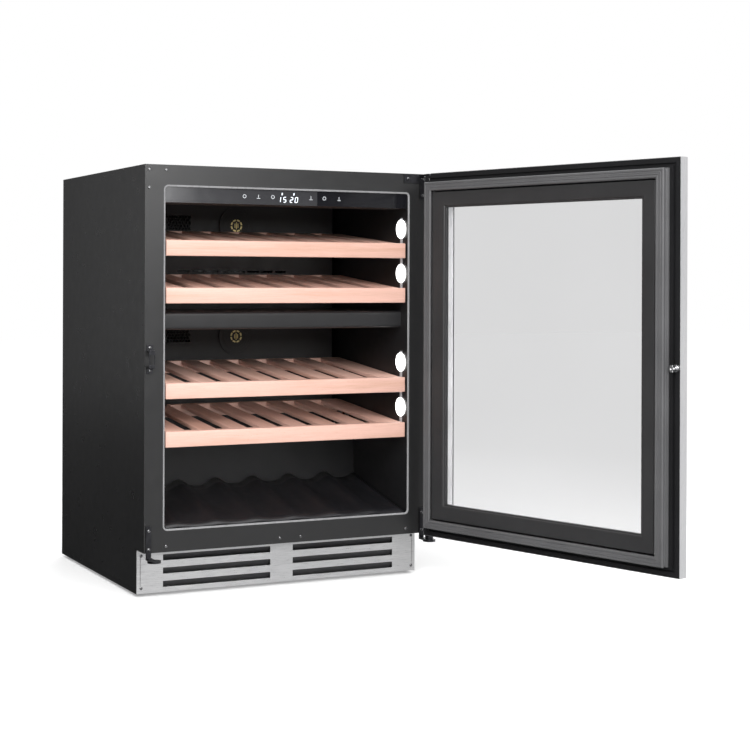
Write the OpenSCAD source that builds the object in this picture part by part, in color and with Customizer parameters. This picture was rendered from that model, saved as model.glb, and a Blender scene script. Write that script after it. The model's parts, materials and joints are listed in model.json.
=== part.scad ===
// Under-counter wine cooler: two temperature zones, a right-hinged glass door, four sliding shelves.
// Millimetres. +X right, +Y to the back, +Z up. The origin is on the floor, in the middle of the
// cabinet's width, in the plane of the front frame's face. The door is drawn open, at door_open.

/* [Cabinet] */
// Width of the cabinet
cab_w = 595; // [480:1:760]
// Height of the cabinet above its base gap
cab_h = 798; // [770:1:1000]
// Depth of the cabinet behind the face of the front frame
cab_d = 510; // [480:1:680]
// Gap under the cabinet that the levelling feet hold
base_gap = 6; // [5:0.5:25]
// Thickness of the outer sheet steel
panel_t = 0.8; // [0.6:0.1:1.5]
// Width of the folded flanges of the outer panels
flange_w = 14; // [12:0.5:18]
// Height of the toe recess, which is the height of the kick plate
toe_h = 82; // [60:1:120]
// Depth of the toe recess
toe_recess = 39; // [20:1:60]

/* [Front frame] */
// Width of each stile
stile_w = 37; // [34:0.5:50]
// Height of the top rail
top_rail = 37; // [34:0.5:50]
// Height of the bottom rail
bottom_rail = 39; // [36:0.5:60]
// Thickness of the frame's plate
frame_t = 1.5; // [1:0.1:3]
// Corner radius of the opening
open_r = 9; // [4:0.5:20]

/* [Liner and insulation] */
// Thickness of the plastic liner
liner_t = 3; // [2:0.5:4]
// How far the liner's walls stand inside the frame's opening
liner_inset = 3.5; // [2:0.5:8]
// Thickness of the foam under the cabinet floor and around the machine room
foam_step = 33; // [25:1:50]
// Thickness of the foam behind the air duct
foam_rear = 46; // [30:1:60]
// Depth of the air duct behind the interior rear wall
duct_d = 75; // [60:1:100]
// Depth of the open channel between the foamed back and the rear cover
channel_d = 75; // [60:1:100]
// Depth of the machine room
machine_d = 245; // [230:1:300]
// Height of the machine room's roof above the cabinet's underside
machine_h = 228; // [215:1:260]

/* [Interior] */
// Height of the control panel's face
control_h = 32; // [24:1:50]
// Set-back of the control panel's face from the frame
control_back = 5; // [2:0.5:20]
// Clear height of the upper zone
upper_zone_h = 204; // [190:1:300]
// Thickness of the divider between the zones
divider_t = 33.5; // [24:0.5:50]
// Thickness of the divider's panel behind its front edge
divider_panel_t = 19; // [14:0.5:20]
// Set-back of the divider's front edge
divider_back = 27; // [10:1:60]
// Rise of the wavy floor from its front to the machine step
floor_rise = 44; // [20:1:60]
// Wave height of the floor at its back
wave_h = 14; // [6:0.5:20]
// Pitch of the floor's waves
wave_pitch = 82; // [70:1:110]

/* [Shelves] */
// Height of a shelf's front rail
rail_h = 29.3; // [24:0.1:36]
// Thickness of a shelf's front rail, front to back
rail_t = 25; // [15:0.5:32]
// Gap between a shelf and the liner, on each side
shelf_gap = 3; // [2.8:0.1:6]
// Set-back of the shelf fronts from the frame
shelf_back = 4; // [2:0.5:20]
// Rise of a slatted deck from its front to its back
deck_rise = 26; // [0:1:32]
// Number of slats between a shelf's two side boards
slat_count = 6; // [4:1:8]
// Width of a slat
slat_w = 36; // [24:0.5:40]
// Thickness of a slat
slat_t = 8; // [6:0.5:8]
// Width of a shelf's side boards
side_board_w = 48; // [36:1:60]
// How far the shelves are drawn pulled out on their runners
shelf_out = 0; // [0:5:220]
// Height of a shelf runner's channel
runner_h = 16; // [12:0.5:18]
// Width of a shelf runner's channel
runner_w = 11; // [9:0.5:14]

/* [Door] */
// Angle at which the door stands open
door_open = 106.3; // [0:0.1:106.3]
// Gap between the door's width and the cabinet's width
door_side_gap = 2; // [1:0.5:4]
// Thickness of the door's steel tray
door_t = 20; // [18:0.5:26]
// Distance from the frame's face to the rim of the closed door's tray
door_gap = 23.5; // [22:0.5:30]
// Sheet thickness of the door's tray
tray_t = 1; // [0.8:0.1:1.5]
// Width of the steel border around the door's window
steel_border = 62; // [58:0.5:66]
// Distance from the door's side edge to the visible glass
glass_inset_x = 66.5; // [64:0.5:90]
// Distance from the door's top and bottom edges to the visible glass
glass_inset_z = 69; // [64:0.5:90]
// Thickness of a glass pane
pane_t = 4; // [3:0.5:5]
// Distance of the hinge axis from the door's side edge
pivot_inset = 7.5; // [7.2:0.1:8.5]
// Distance of the hinge axis in front of the rim of the door's tray
pivot_depth = 8.5; // [7.5:0.1:10]
// Radius of the hinge pins
pin_r = 4; // [3:0.1:4.2]
// Length of the handle's bar
handle_len = 430; // [200:5:560]
// Radius of the handle's bar
handle_r = 6; // [5:0.5:8]
// Distance of the handle's axis from the door's face
handle_stand = 36; // [28:1:38]

/* [Small parts] */
// Radial running clearance of pins and shafts
run_gap = 0.05; // [0.02:0.01:0.1]
// Radius of a lamp's lens
lens_r = 18.7; // [14:0.1:22]
// Radius of a carbon filter
filter_r = 38; // [30:0.5:38.4]
// Radius of an interior fan's rotor
fan_r = 41; // [30:0.5:44]
// Radius of a levelling foot's pad
foot_r = 15; // [12:0.5:18]
// Radius of a levelling foot's spindle
spindle_r = 5; // [4:0.5:6]
// Radius of the compressor's shell
shell_r = 74; // [60:1:80]

/* [Hidden] */

$fn = 48;
eps = 0.01;

// Heights
z0 = base_gap;
z_frame = z0 + toe_h;
z_open0 = z_frame + bottom_rail;
z_top = z0 + cab_h;
z_open1 = z_top - top_rail;
z_floor = z_open0 - 2;
z_ceiling = z_open1 + 2;
z_control = z_open1 - control_h;
z_div1 = z_control - upper_zone_h;
z_div0 = z_div1 - divider_t;
z_panel0 = z_div1 - divider_panel_t;
z_roof = z0 + machine_h;
z_step = z_roof + panel_t + foam_step + liner_t;

// Widths and depths
half_w = cab_w / 2;
skin_x = half_w - panel_t;
open_x = half_w - stile_w;
in_x = open_x - liner_inset;
y_flange = frame_t + panel_t;
y_foam = frame_t + liner_t;
y_rear = cab_d - panel_t;
y_back = cab_d - channel_d;
y_liner = y_back - foam_rear - liner_t;
y_wall = y_liner - duct_d;
y_room = cab_d - machine_d;
y_step = y_room - foam_step - liner_t;
liner_flange = 15;

// The shelves: the height of each front rail's underside, from the top one down
first_gap = 16.4;
head_gap = 10;
pitch_upper = (upper_zone_h - first_gap - head_gap) / 2;
low_first_gap = 9.5;
low_head_gap = 37.8;
pitch_lower = (z_div0 - z_step - low_first_gap - low_head_gap) / 2;
shelf_z = [z_div1 + first_gap + pitch_upper, z_div1 + first_gap,
  z_step + low_first_gap + pitch_lower, z_step + low_first_gap];
shelf_x = in_x - shelf_gap;
rail_y = shelf_back + rail_t;
rear_gap = 7;
rear_rail_t = 20;
rear_rail_y = y_wall - rear_gap - rear_rail_t;
deck_run = rear_rail_y - rail_y;
deck_angle = atan(deck_rise / deck_run);
slat_zone = shelf_x - side_board_w;
slat_pitch = (2 * slat_zone + slat_w) / (slat_count + 1);
chamfer = 1.5;

// Runners: a fixed channel on the liner and a bar on the shelf that slides in it
runner_t = 1.5;
runner_play = 0.4;
runner_lift = 3;
runner_y0 = rail_y + 4;
runner_y1 = y_wall - 10;
bar_h = runner_h - 2 * runner_t - 2 * runner_play;
lug_gap = 1.2;

// Door, drawn closed and then turned about the hinge axis
door_x = half_w - door_side_gap / 2;
z_door0 = z_frame;
z_door1 = z_top - 1;
door_zc = (z_door0 + z_door1) / 2;
door_h = z_door1 - z_door0;
y_lip = -door_gap;
y_tray = y_lip - door_t;
pivot_x = door_x - pivot_inset;
pivot_y = y_lip - pivot_depth;
lip_w = 9.5;
groove_w = 4.5;
groove_d = 3;
plug_inset = 18.3;
gasket_w = 18;
bezel_gap = 2.5;
bezel_w = 25;
seal_gap = 0.3;
y_core = y_tray + tray_t;
y_inner = y_lip + 5;
y_bezel = -4;
gasket_in = plug_inset + gasket_w;
bezel_out = gasket_in + bezel_gap;
bezel_in = bezel_out + bezel_w;
pane_lap = 12;
pane_x = door_x - glass_inset_x + pane_lap;
pane_z = door_h / 2 - glass_inset_z + pane_lap;
unit_gap = 1;
notch_h = 4.5;
arm_t = 3.5;
arm_r = 8;
bush_r = 6;
bush_len = 14;
washer_h = 8;
bracket_t = 2.5;
tab_t = 4;
tab_r = 12.5;
handle_x = -door_x + 50;
handle_post = handle_len / 2 - 35;

// Lock
lock_inset = 9;
lock_x = -door_x + lock_inset;
lock_z = z_frame + 356;
barrel_r = 4;
case_r = 6.4;
lock_reach = 14;
y_stud = y_lip + lock_reach;
cam_l = 6;
cam_t = 2;

// Screws: [x, z] on the frame's face, given for the right half and mirrored
screw_r = 2;
head_r = 3;
head_h = 1.5;
cross_l = 2;
cross_w = 0.4;
screw_gap = 0.1;
edge_x = half_w - 8.7;
corner_screws = [[edge_x, z_top - 9.5], [edge_x - 33, z_top - 9.5], [edge_x, z_top - 43]];
tab_screws = [[edge_x, z_frame + 41], [edge_x, z_frame + 6.8]];
rail_screws = [[half_w - 43.5, z_frame + 10.5], [22, z_frame + 10.5]];
kick_screws = [[half_w - 9, z0 + 10.5], [half_w - 9, z0 + toe_h - 11]];

// Kick plate
kick_t = 1.2;
slot_h = 11.3;
slot_pitch = 24.9;
slot_x0 = 24;
slot_x1 = half_w - 52.5;
slot_first = 9.6;
kick_flange = 14;

// Lamps, fans, filters and feet
lamp_y = 26;
lamp_t = 1.5;
strip_t = 1;
lamp_rise = rail_h + 29;
lamp_z = [for (z = shelf_z) z + lamp_rise];
filter_x = 17;
filter_z = [z_control - 29.5, z_div0 - 24.5];
fan_x = 130;
fan_z = [z_div1 + 60, z_div0 - 62];
fan_d = 25;
fan_wall = 5;
machine_fan_x = -62;
machine_fan_z = z0 + 78;
machine_fan_r = 62;
room_y = (y_room + y_rear) / 2;
foot_x = half_w - 47.5;
foot_ys = [84, cab_d - 50];
foot_pad = 4.5;
spindle_len = 46;
compressor_x = half_w - 142;
cover_y = y_rear - 3;
inlet_x = -half_w + 60;
inlet_z = z0 + 60;
strike_screws = [lock_z + 22, lock_z - 20];
line_r = 3;
line_xs = [38, 60];
line_z = z_roof + 60;

// Condenser: rows of tubes and the distance of its two columns from its middle
condenser_tubes = 4;
condenser_pitch = 28;
condenser_column = 26;

// Compressor feet: rubber grommets on studs, at the corners of a rectangle
stud_r = 3;
stud_dx = 72;
stud_dy = 52;
mount_feet = [for (i = [-1, 1]) for (k = [-1, 1]) [compressor_x + i * stud_dx, room_y + k * stud_dy]];

// Front-to-back places in the air ducts
cover_x = in_x - 11;
cover_t = 3;
fan_y = y_wall + cover_t + 20;
grille_x0 = -140;
grille_x1 = -78;
grille_h = 36;
hex_r = 3.1;
hex_pitch = 7;
hub_r = 20;
air_slot_x0 = -112;
air_slot_pitch = 31.6;
air_slot_w = 25.6;
air_slot_h = 4;

// Display: the thickness of a symbol, and the size, stroke, places and lit segments of the digits
symbol_t = 0.2;
digit_w = 7.4;
digit_h = 14.4;
stroke = 1.6;
digit_x = [-16.8, -8.2, 6.4, 15.2];
digit_z = z_control + 2.6;
temperatures = [1, 5, 2, 0];
segments = [[1, 1, 1, 1, 1, 1, 0], [0, 1, 1, 0, 0, 0, 0], [1, 1, 0, 1, 1, 0, 1], [1, 1, 1, 1, 0, 0, 1],
  [0, 1, 1, 0, 0, 1, 1], [1, 0, 1, 1, 0, 1, 1]];

// Strike: its thickness and how far it stands in front of the frame
strike_t = 1.5;
strike_out = y_stud - cam_t - 1;

// Wavy floor
floor_y0 = 7;
floor_y1 = y_step - 0.3;
floor_x = in_x - 3.6;
floor_lift = 6.5;
floor_t = 3;
wave_x0 = 21;
floor_nx = 120;
floor_ny = 8;

// ---- Helpers ----

// Rounded rectangle, centred
module rrect(w, h, r) {
  square([w - 2 * r, h], center = true);
  square([w, h - 2 * r], center = true);
  for (x = [-1, 1])
    for (y = [-1, 1])
      translate([x * (w / 2 - r), y * (h / 2 - r)])
        circle(r);
}

// A profile drawn in X and Z, extruded from y0 to y1
module along_y(y0, y1) {
  translate([0, y1, 0])
    rotate([90, 0, 0])
      linear_extrude(y1 - y0)
        children();
}

// A profile drawn in Y and Z, extruded from x0 to x1
module along_x(x0, x1) {
  translate([x0, 0, 0])
    rotate([90, 0, 90])
      linear_extrude(x1 - x0)
        children();
}

// A cylinder along Y
module rod_y(x, z, r, y0, y1) {
  translate([x, y1, z])
    rotate([90, 0, 0])
      cylinder(r = r, h = y1 - y0);
}

// A box given by its lowest and highest corners
module block(a, b) {
  translate(a)
    cube(b - a);
}

// A box that is symmetric in X
module wide(x, y0, y1, h0, h1) {
  block([-x, y0, h0], [x, y1, h1]);
}

// Both halves of something drawn on the right
module both() {
  children();
  mirror([1, 0, 0])
    children();
}

// Holes through the sheets behind the frame's face for every screw in it
module frame_screw_holes() {
  both()
    for (p = concat(corner_screws, tab_screws, rail_screws))
      rod_y(p[0], p[1], screw_r + screw_gap, -1, y_foam - eps);
}

// Holes behind the strike plate, in the left stile only
module strike_holes() {
  for (z = strike_screws)
    rod_y(lock_x, z, screw_r + screw_gap, -1, y_foam - eps);
}

// A pan-head screw along Y whose head's underside is at y
module screw(p, y, length) {
  difference() {
    union() {
      rod_y(p[0], p[1], head_r, y - head_h, y);
      rod_y(p[0], p[1], screw_r, y - eps, y + length);
    }
    for (half = [[cross_l, cross_w], [cross_w, cross_l]])
      block([p[0] - half[0], y - head_h - eps, p[1] - half[1]],
        [p[0] + half[0], y - head_h / 2, p[1] + half[1]]);
  }
}

// ---- Cabinet ----

// One side of the outer case: a sheet with flanges at its front, back and bottom
module side_panel() {
  toe_y = toe_recess + kick_t;
  color("#1b1b1d")
    difference() {
      union() {
        block([skin_x, frame_t, z0], [half_w, cab_d, z_top]);
        block([half_w - flange_w, frame_t, z0], [half_w, y_flange, z_top]);
        block([half_w - flange_w, y_rear, z0], [half_w, cab_d, z_top]);
        block([half_w - flange_w, frame_t, z0], [half_w, cab_d, z0 + panel_t]);
      }
      block([0, -1, 0], [half_w + 1, toe_y, z_frame]);
      frame_screw_holes();
    }
}

module side_panel_right() {
  side_panel();
}

module side_panel_left() {
  difference() {
    mirror([1, 0, 0])
      side_panel();
    strike_holes();
  }
}

// The outer top, folded down at its front and back
module top_panel() {
  color("#1b1b1d")
    difference() {
      union() {
        wide(skin_x, y_flange, y_rear, z_top - panel_t, z_top);
        wide(half_w - flange_w - 1, y_flange, y_flange + panel_t, z_top - flange_w, z_top);
        wide(half_w - flange_w - 1, cover_y - 2 * panel_t, cover_y - panel_t, z_top - flange_w, z_top);
      }
      frame_screw_holes();
    }
}

// The vented sheet that closes the back of the rear channel and the machine room
module rear_cover() {
  vent_w = 60;
  vent_h = 5;
  columns = floor((2 * skin_x - 60) / (vent_w + 25));
  color("#2a2a2c")
    difference() {
      wide(skin_x, cover_y - panel_t, cover_y, z0 + 2 * panel_t + 2, z_top - panel_t - 0.2);
      for (i = [0 : columns - 1])
        for (k = [0 : 4])
          for (z = [z0 + 110, z_top - 130])
            translate([(i - (columns - 1) / 2) * (vent_w + 25) - vent_w / 2, cover_y - 2, z + k * 16])
              cube([vent_w, 4, vent_h]);
      block([inlet_x - 14.5, cover_y - 2, inlet_z - 10.5],
        [inlet_x + 14.5, cover_y + 1, inlet_z + 10.5]);
    }
}

// The folded sheet under and behind the foam: cabinet floor, machine room front and roof, inner back
module inner_back_panel() {
  color("#8f9396")
    difference() {
      union() {
        wide(skin_x, y_flange, y_room + panel_t, z_frame, z_frame + panel_t);
        wide(half_w - flange_w - 1, y_flange, y_flange + panel_t, z_frame, z_frame + flange_w);
        wide(skin_x, y_room, y_room + panel_t, z_frame, z_roof + panel_t);
        wide(skin_x, y_room, y_back + panel_t, z_roof, z_roof + panel_t);
        wide(skin_x, y_back, y_back + panel_t, z_roof, z_top - panel_t);
      }
      frame_screw_holes();
      for (x = line_xs)
        rod_y(x, line_z, line_r + 1.5, y_back - 1, y_back + panel_t + 1);
    }
}

// The steel pan that the feet, the compressor and the condenser stand on
module base_pan() {
  pan0 = z0 + panel_t;
  pan1 = pan0 + 1.2;
  y_pan = toe_recess + kick_t + kick_flange + 1;
  nut_h = 8;
  color("#77797c")
    difference() {
      union() {
        wide(skin_x, y_pan, cover_y - panel_t, pan0, pan1);
        both()
          block([skin_x - 1.2, y_pan, pan0], [skin_x, cover_y - panel_t, pan0 + 22]);
        both()
          for (y = foot_ys)
            translate([foot_x, y, pan1 - eps])
              cylinder(r = 9, h = nut_h, $fn = 6);
        for (p = mount_feet)
          translate([p[0], p[1], pan1 - eps])
            cylinder(r = stud_r, h = 24);
      }
      both()
        for (y = foot_ys)
          translate([foot_x, y, pan0 - 1])
            cylinder(r = spindle_r + run_gap, h = nut_h + 4);
      for (i = [-3 : 3])
        block([i * 60 - 20, 130, pan0 - 1], [i * 60 + 20, 150, pan1 + 1]);
    }
}

// The painted plate around the opening, with folded edges round its outside
module front_frame() {
  color("#4a4a4c")
    difference() {
      along_y(0, frame_t)
        difference() {
          translate([0, (z_frame + z_top) / 2])
            square([cab_w, z_top - z_frame], center = true);
          translate([0, (z_open0 + z_open1) / 2])
            rrect(2 * open_x, z_open1 - z_open0, open_r);
        }
      frame_screw_holes();
      strike_holes();
    }
}

// The bright bead in the edge of the opening
module opening_trim() {
  color("#8c8c8e")
    along_y(0, frame_t)
      difference() {
        translate([0, (z_open0 + z_open1) / 2])
          rrect(2 * open_x, z_open1 - z_open0, open_r);
        translate([0, (z_floor + z_ceiling) / 2])
          rrect(2 * in_x, z_open1 - z_open0 - 2 * liner_inset, open_r - 2);
      }
}

// The liner's inside, grown by g; the machine step is left out of it
module liner_space(g, y0) {
  difference() {
    along_y(y0, y_liner + g)
      translate([0, (z_floor + z_ceiling) / 2])
        rrect(2 * in_x + 2 * g, z_ceiling - z_floor + 2 * g, open_r - 2 + g);
    block([-half_w, y_step + g, 0], [half_w, cab_d, z_step - g]);
  }
}

// The foam between the liner and the outer case
module insulation() {
  color("#d8cf9a")
    difference() {
      union() {
        wide(skin_x, y_foam, y_room, z_frame + panel_t, z_top - panel_t);
        wide(skin_x, y_foam, y_back, z_roof + panel_t, z_top - panel_t);
      }
      liner_space(liner_t, 0);
      block([-half_w, 0, 0], [half_w, y_foam, z_top]);
    }
}

// The moulded inner cabinet with its front flange and its step over the machine room
module liner() {
  color("#262628")
    difference() {
      union() {
        liner_space(liner_t, frame_t);
        along_y(frame_t, frame_t + liner_t)
          translate([0, (z_floor + z_ceiling) / 2])
            rrect(2 * in_x + 2 * liner_flange, z_ceiling - z_floor + 2 * liner_flange - 4, open_r + 8);
      }
      liner_space(0, frame_t - 1);
    }
}

// The insulated shelf between the two zones
module zone_divider() {
  r = 6;
  edge = 16;
  color("#303032")
    along_x(-in_x + 0.1, in_x - 0.1)
      union() {
        translate([divider_back + r, z_panel0])
          square([y_liner - divider_back - r, divider_panel_t]);
        translate([divider_back + r, z_div0])
          square([edge - r, divider_t]);
        translate([divider_back, z_div0 + r])
          square([r + eps, divider_t - 2 * r]);
        translate([divider_back + r, z_div0 + r])
          circle(r);
        translate([divider_back + r, z_div1 - r])
          circle(r);
      }
}

// Height of the wavy floor's top: narrow crests and flat troughs that fade towards the front
function floor_z(x, y) =
  let (t = (y - floor_y0) / (floor_y1 - floor_y0))
  z_floor + floor_lift + floor_rise * t
  + wave_h * (0.12 + 0.88 * t) * pow((1 + cos(360 * (x - wave_x0) / wave_pitch)) / 2, 1.6);

// The moulded floor tray, whose waves cradle the bottles
module wave_floor() {
  row = floor_nx + 1;
  count = row * (floor_ny + 1);
  xs = [for (i = [0 : floor_nx]) -floor_x + 2 * floor_x * i / floor_nx];
  ys = [for (j = [0 : floor_ny]) floor_y0 + (floor_y1 - floor_y0) * j / floor_ny];
  top_points = [for (y = ys) for (x = xs) [x, y, floor_z(x, y)]];
  low_points = [for (y = ys) for (x = xs) [x, y, floor_z(x, y) - floor_t]];
  cells = [for (j = [0 : floor_ny - 1]) for (i = [0 : floor_nx - 1]) j * row + i];
  top_faces = [for (c = cells) each [[c, c + row, c + row + 1], [c, c + row + 1, c + 1]]];
  low_faces = [for (f = top_faces) [f[2] + count, f[1] + count, f[0] + count]];
  front = [for (i = [0 : floor_nx - 1]) [i, i + 1, i + 1 + count, i + count]];
  last = floor_ny * row;
  back = [for (i = [0 : floor_nx - 1])
    [last + i + 1, last + i, last + i + count, last + i + 1 + count]];
  starts = [for (j = [0 : floor_ny - 1]) j * row];
  left = [for (s = starts) [s + row, s, s + count, s + row + count]];
  ends = [for (s = starts) s + floor_nx];
  right = [for (e = ends) [e, e + row, e + row + count, e + count]];
  color("#3a3a3e")
    polyhedron(concat(top_points, low_points),
      concat(top_faces, low_faces, front, back, left, right), convexity = 6);
}

// ---- Air ducts ----

// A field of hexagonal holes
module hex_field() {
  rows = floor(grille_h / (hex_pitch * 0.87));
  columns = floor((grille_x1 - grille_x0) / hex_pitch);
  for (j = [0 : rows - 1])
    for (i = [0 : columns - 1 - j % 2])
      translate([(i + 0.5 + (j % 2) / 2) * hex_pitch, (j + 0.6) * hex_pitch * 0.87])
        rotate(30)
          circle(hex_r, $fn = 6);
}

// One duct cover between z_low and z_high, with its grille, filter seat and air slots
module duct_cover(z_low, z_high, z_filter, slot_z) {
  difference() {
    union() {
      wide(cover_x, y_wall, y_wall + cover_t, z_low, z_high);
      both()
        block([cover_x - cover_t, y_wall, z_low], [cover_x, y_liner, z_high]);
      along_y(y_wall - 2, y_wall + eps)
        translate([grille_x0 - 5, z_filter - 16])
          square([grille_x1 - grille_x0 + 17, grille_h + 8]);
    }
    along_y(y_wall - 3, y_wall + cover_t + 1)
      translate([grille_x0, z_filter - 12])
        hex_field();
    rod_y(filter_x, z_filter, hub_r + run_gap, y_wall - 5, y_wall + cover_t + 1);
    for (x = [air_slot_x0 : air_slot_pitch : -air_slot_x0])
      block([x, y_wall - 1, slot_z], [x + air_slot_w, y_wall + cover_t + 1, slot_z + air_slot_h]);
  }
}

module duct_covers() {
  color("#2c2c2e") {
    duct_cover(z_div1, z_ceiling, filter_z[0], z_div1 + 76);
    duct_cover(z_step, z_panel0, filter_z[1], z_step + 24);
  }
}

// A roll-bond evaporator plate with its serpentine tube
module evaporator(z_mid) {
  half = 150;
  tube_r = 4;
  runs = 4;
  gap = 28;
  y = y_liner - 8;
  z_first = z_mid - gap * (runs - 1) / 2;
  wide(half + 35, y, y + 1.5, z_first - 18, z_first + gap * (runs - 1) + 18);
  for (i = [0 : runs - 1])
    translate([-half, y, z_first + i * gap])
      rotate([0, 90, 0])
        cylinder(r = tube_r, h = 2 * half, $fn = 24);
  for (i = [0 : runs - 2])
    translate([(i % 2 == 0 ? 1 : -1) * half, y, z_first + (i + 0.5) * gap])
      rotate([90, i % 2 == 0 ? 0 : 180, 0])
        rotate([0, 0, -90])
          rotate_extrude(angle = 180, $fn = 24)
            translate([gap / 2, 0])
              circle(tube_r, $fn = 24);
}

module evaporators() {
  color("#c9ccd0") {
    evaporator(fan_z[0] + 45);
    evaporator(fan_z[1] - 30);
  }
}

// A square fan frame with a bearing hub on struts; the air moves along Y
module fan_frame(x, z, r, y) {
  hub = 0.3 * r;
  shaft_r = 2;
  difference() {
    along_y(y, y + fan_d)
      translate([x, z])
        difference() {
          square(2 * (r + fan_wall), center = true);
          circle(r + 1.2);
        }
    for (i = [-1, 1])
      for (k = [-1, 1])
        rod_y(x + i * (r + fan_wall) * 0.86, z + k * (r + fan_wall) * 0.86, 2.2, y - 1, y + fan_d + 1);
  }
  along_y(y + fan_d - 3, y + fan_d)
    translate([x, z])
      difference() {
        union() {
          circle(hub);
          for (a = [45 : 90 : 315])
            rotate(a)
              translate([hub * 0.5, -2])
                square([r + 2 - hub * 0.5, 4]);
        }
        circle(shaft_r + run_gap);
      }
}

// The turning part of a fan: hub, shaft and pitched blades
module fan_rotor(x, z, r, y) {
  hub = 0.32 * r;
  shaft_r = 2;
  blades = 7;
  depth = fan_d - 8;
  color("#3c3c3e") {
    rod_y(x, z, hub, y + 2, y + 2 + depth);
    rod_y(x, z, shaft_r, y + 2, y + fan_d - 0.2);
    for (i = [0 : blades - 1])
      translate([x, y + 2 + depth / 2, z])
        rotate([0, i * 360 / blades, 0])
          translate([hub - 1, 0, 0])
            rotate([42, 0, 0])
              translate([0, -0.8, -depth * 0.45])
                cube([r - hub, 1.6, depth * 0.9]);
  }
}

module fan_frames() {
  color("#1a1a1a") {
    fan_frame(fan_x, fan_z[0], fan_r, fan_y);
    fan_frame(fan_x, fan_z[1], fan_r, fan_y);
    fan_frame(machine_fan_x, machine_fan_z, machine_fan_r, room_y);
  }
}

module fan_rotor_upper() {
  fan_rotor(fan_x, fan_z[0], fan_r, fan_y);
}

module fan_rotor_lower() {
  fan_rotor(fan_x, fan_z[1], fan_r, fan_y);
}

module fan_rotor_machine() {
  fan_rotor(machine_fan_x, machine_fan_z, machine_fan_r, room_y);
}

// A carbon filter: a round cartridge with a ribbed ring and a grip bar, twisted into the duct cover
module filter_cartridge(z) {
  face_t = 5;
  ring_r = 15.5;
  color("#29292b")
    difference() {
      union() {
        rod_y(filter_x, z, filter_r, y_wall - face_t, y_wall - 2.2);
        rod_y(filter_x, z, hub_r, y_wall - 2.3, y_wall + 12);
        rod_y(filter_x, z, ring_r, y_wall - face_t - 1, y_wall - face_t + 1);
      }
      rod_y(filter_x, z, ring_r - 4, y_wall - face_t - 2, y_wall - face_t);
      for (a = [0 : 45 : 315])
        translate([filter_x, 0, z])
          rotate([0, a, 0])
            block([ring_r - 5, y_wall - face_t - 2, -0.8], [ring_r + 1, y_wall - face_t, 0.8]);
      for (r = [22 : 5 : filter_r - 6])
        along_y(y_wall - face_t - 1, y_wall - face_t + 0.6)
          translate([filter_x, z])
            difference() {
              circle(r + 1);
              circle(r);
            }
    }
  block([filter_x - 1.5, y_wall - face_t - 1, z - 9], [filter_x + 1.5, y_wall - face_t + 0.2, z + 9]);
}

module filter_upper() {
  filter_cartridge(filter_z[0]);
}

module filter_lower() {
  filter_cartridge(filter_z[1]);
}

// ---- Control panel and lamps ----

// A block between two depths and up to z1 that follows the liner's rounded upper corners
module control_shape(y0, y1, z1) {
  play = 0.2;
  along_y(y0, y1)
    intersection() {
      translate([0, (z_floor + z_ceiling) / 2])
        rrect(2 * (in_x - play), z_ceiling - z_floor - 2 * play, open_r - 2);
      translate([-in_x, z_control])
        square([2 * in_x, z1 - z_control]);
    }
}

// The moulded box behind the control glass
module control_housing() {
  color("#1d1d1f")
    difference() {
      control_shape(control_back + 3, control_back + 75, z_ceiling);
      wide(in_x - 9, control_back + 6, control_back + 72, z_control + 3, z_ceiling + 1);
    }
}

module control_glass() {
  color("#0c0c0e")
    control_shape(control_back, control_back + 3, z_open1);
}

// One bar of a symbol, from [x, z] by [w, h]
module bar(x, z, w, h) {
  block([x, control_back - symbol_t, z], [x + w, control_back, z + h]);
}

// A seven-segment digit at x, standing on z: top, upper right, lower right, bottom, lower left, ...
module digit(n, x, z) {
  on = segments[n];
  mid = z + digit_h / 2;
  g = 0.15;
  if (on[0])
    bar(x, z + digit_h - stroke, digit_w, stroke);
  if (on[1])
    bar(x + digit_w - stroke, mid + g, stroke, digit_h / 2 - stroke - 2 * g);
  if (on[2])
    bar(x + digit_w - stroke, z + stroke + g, stroke, digit_h / 2 - stroke - 2 * g);
  if (on[3])
    bar(x, z, digit_w, stroke);
  if (on[4])
    bar(x, z + stroke + g, stroke, digit_h / 2 - stroke - 2 * g);
  if (on[5])
    bar(x, mid + g, stroke, digit_h / 2 - stroke - 2 * g);
  if (on[6])
    bar(x + stroke + g, mid - stroke / 2, digit_w - 2 * stroke - 2 * g, stroke);
}

// The lit temperatures and the touch symbols, thin layers on the control glass
module display_symbols() {
  mark_h = 7;
  mark_z = digit_z + digit_h + 2;
  touch_z = z_control + control_h / 2 - 1;
  ring_r = 3.6;
  line = 0.9;
  color("#e8f2ff") {
    for (i = [0 : 3])
      digit(temperatures[i], digit_x[i], digit_z);
    for (x = [digit_x[1], digit_x[3]])
      bar(x - 1, mark_z, 2, mark_h);
    for (x = [-96, -37, 73])
      along_y(control_back - symbol_t, control_back)
        translate([x, touch_z])
          difference() {
            circle(ring_r);
            circle(ring_r - line);
          }
    for (x = [-67, 44, 105]) {
      bar(x - ring_r, touch_z - ring_r, 2 * ring_r, line);
      bar(x - line / 2, touch_z - ring_r + 2 * line, line, ring_r + 2);
    }
  }
}

// The light bars on the side walls, one pair in each zone
module lamp_strips() {
  color("#d9dadc")
    both()
      for (k = [0, 2])
        block([in_x - strip_t, lamp_y - 4, lamp_z[k + 1] - 34], [in_x, lamp_y + 4, lamp_z[k] + 22]);
}

// The round lenses on the light bars
module lamp_lenses() {
  color("#f6f8ff")
    both()
      for (z = lamp_z)
        translate([in_x - strip_t - lamp_t, lamp_y, z])
          rotate([0, 90, 0])
            cylinder(r = lens_r, h = lamp_t);
}

// ---- Toe recess ----

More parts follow.
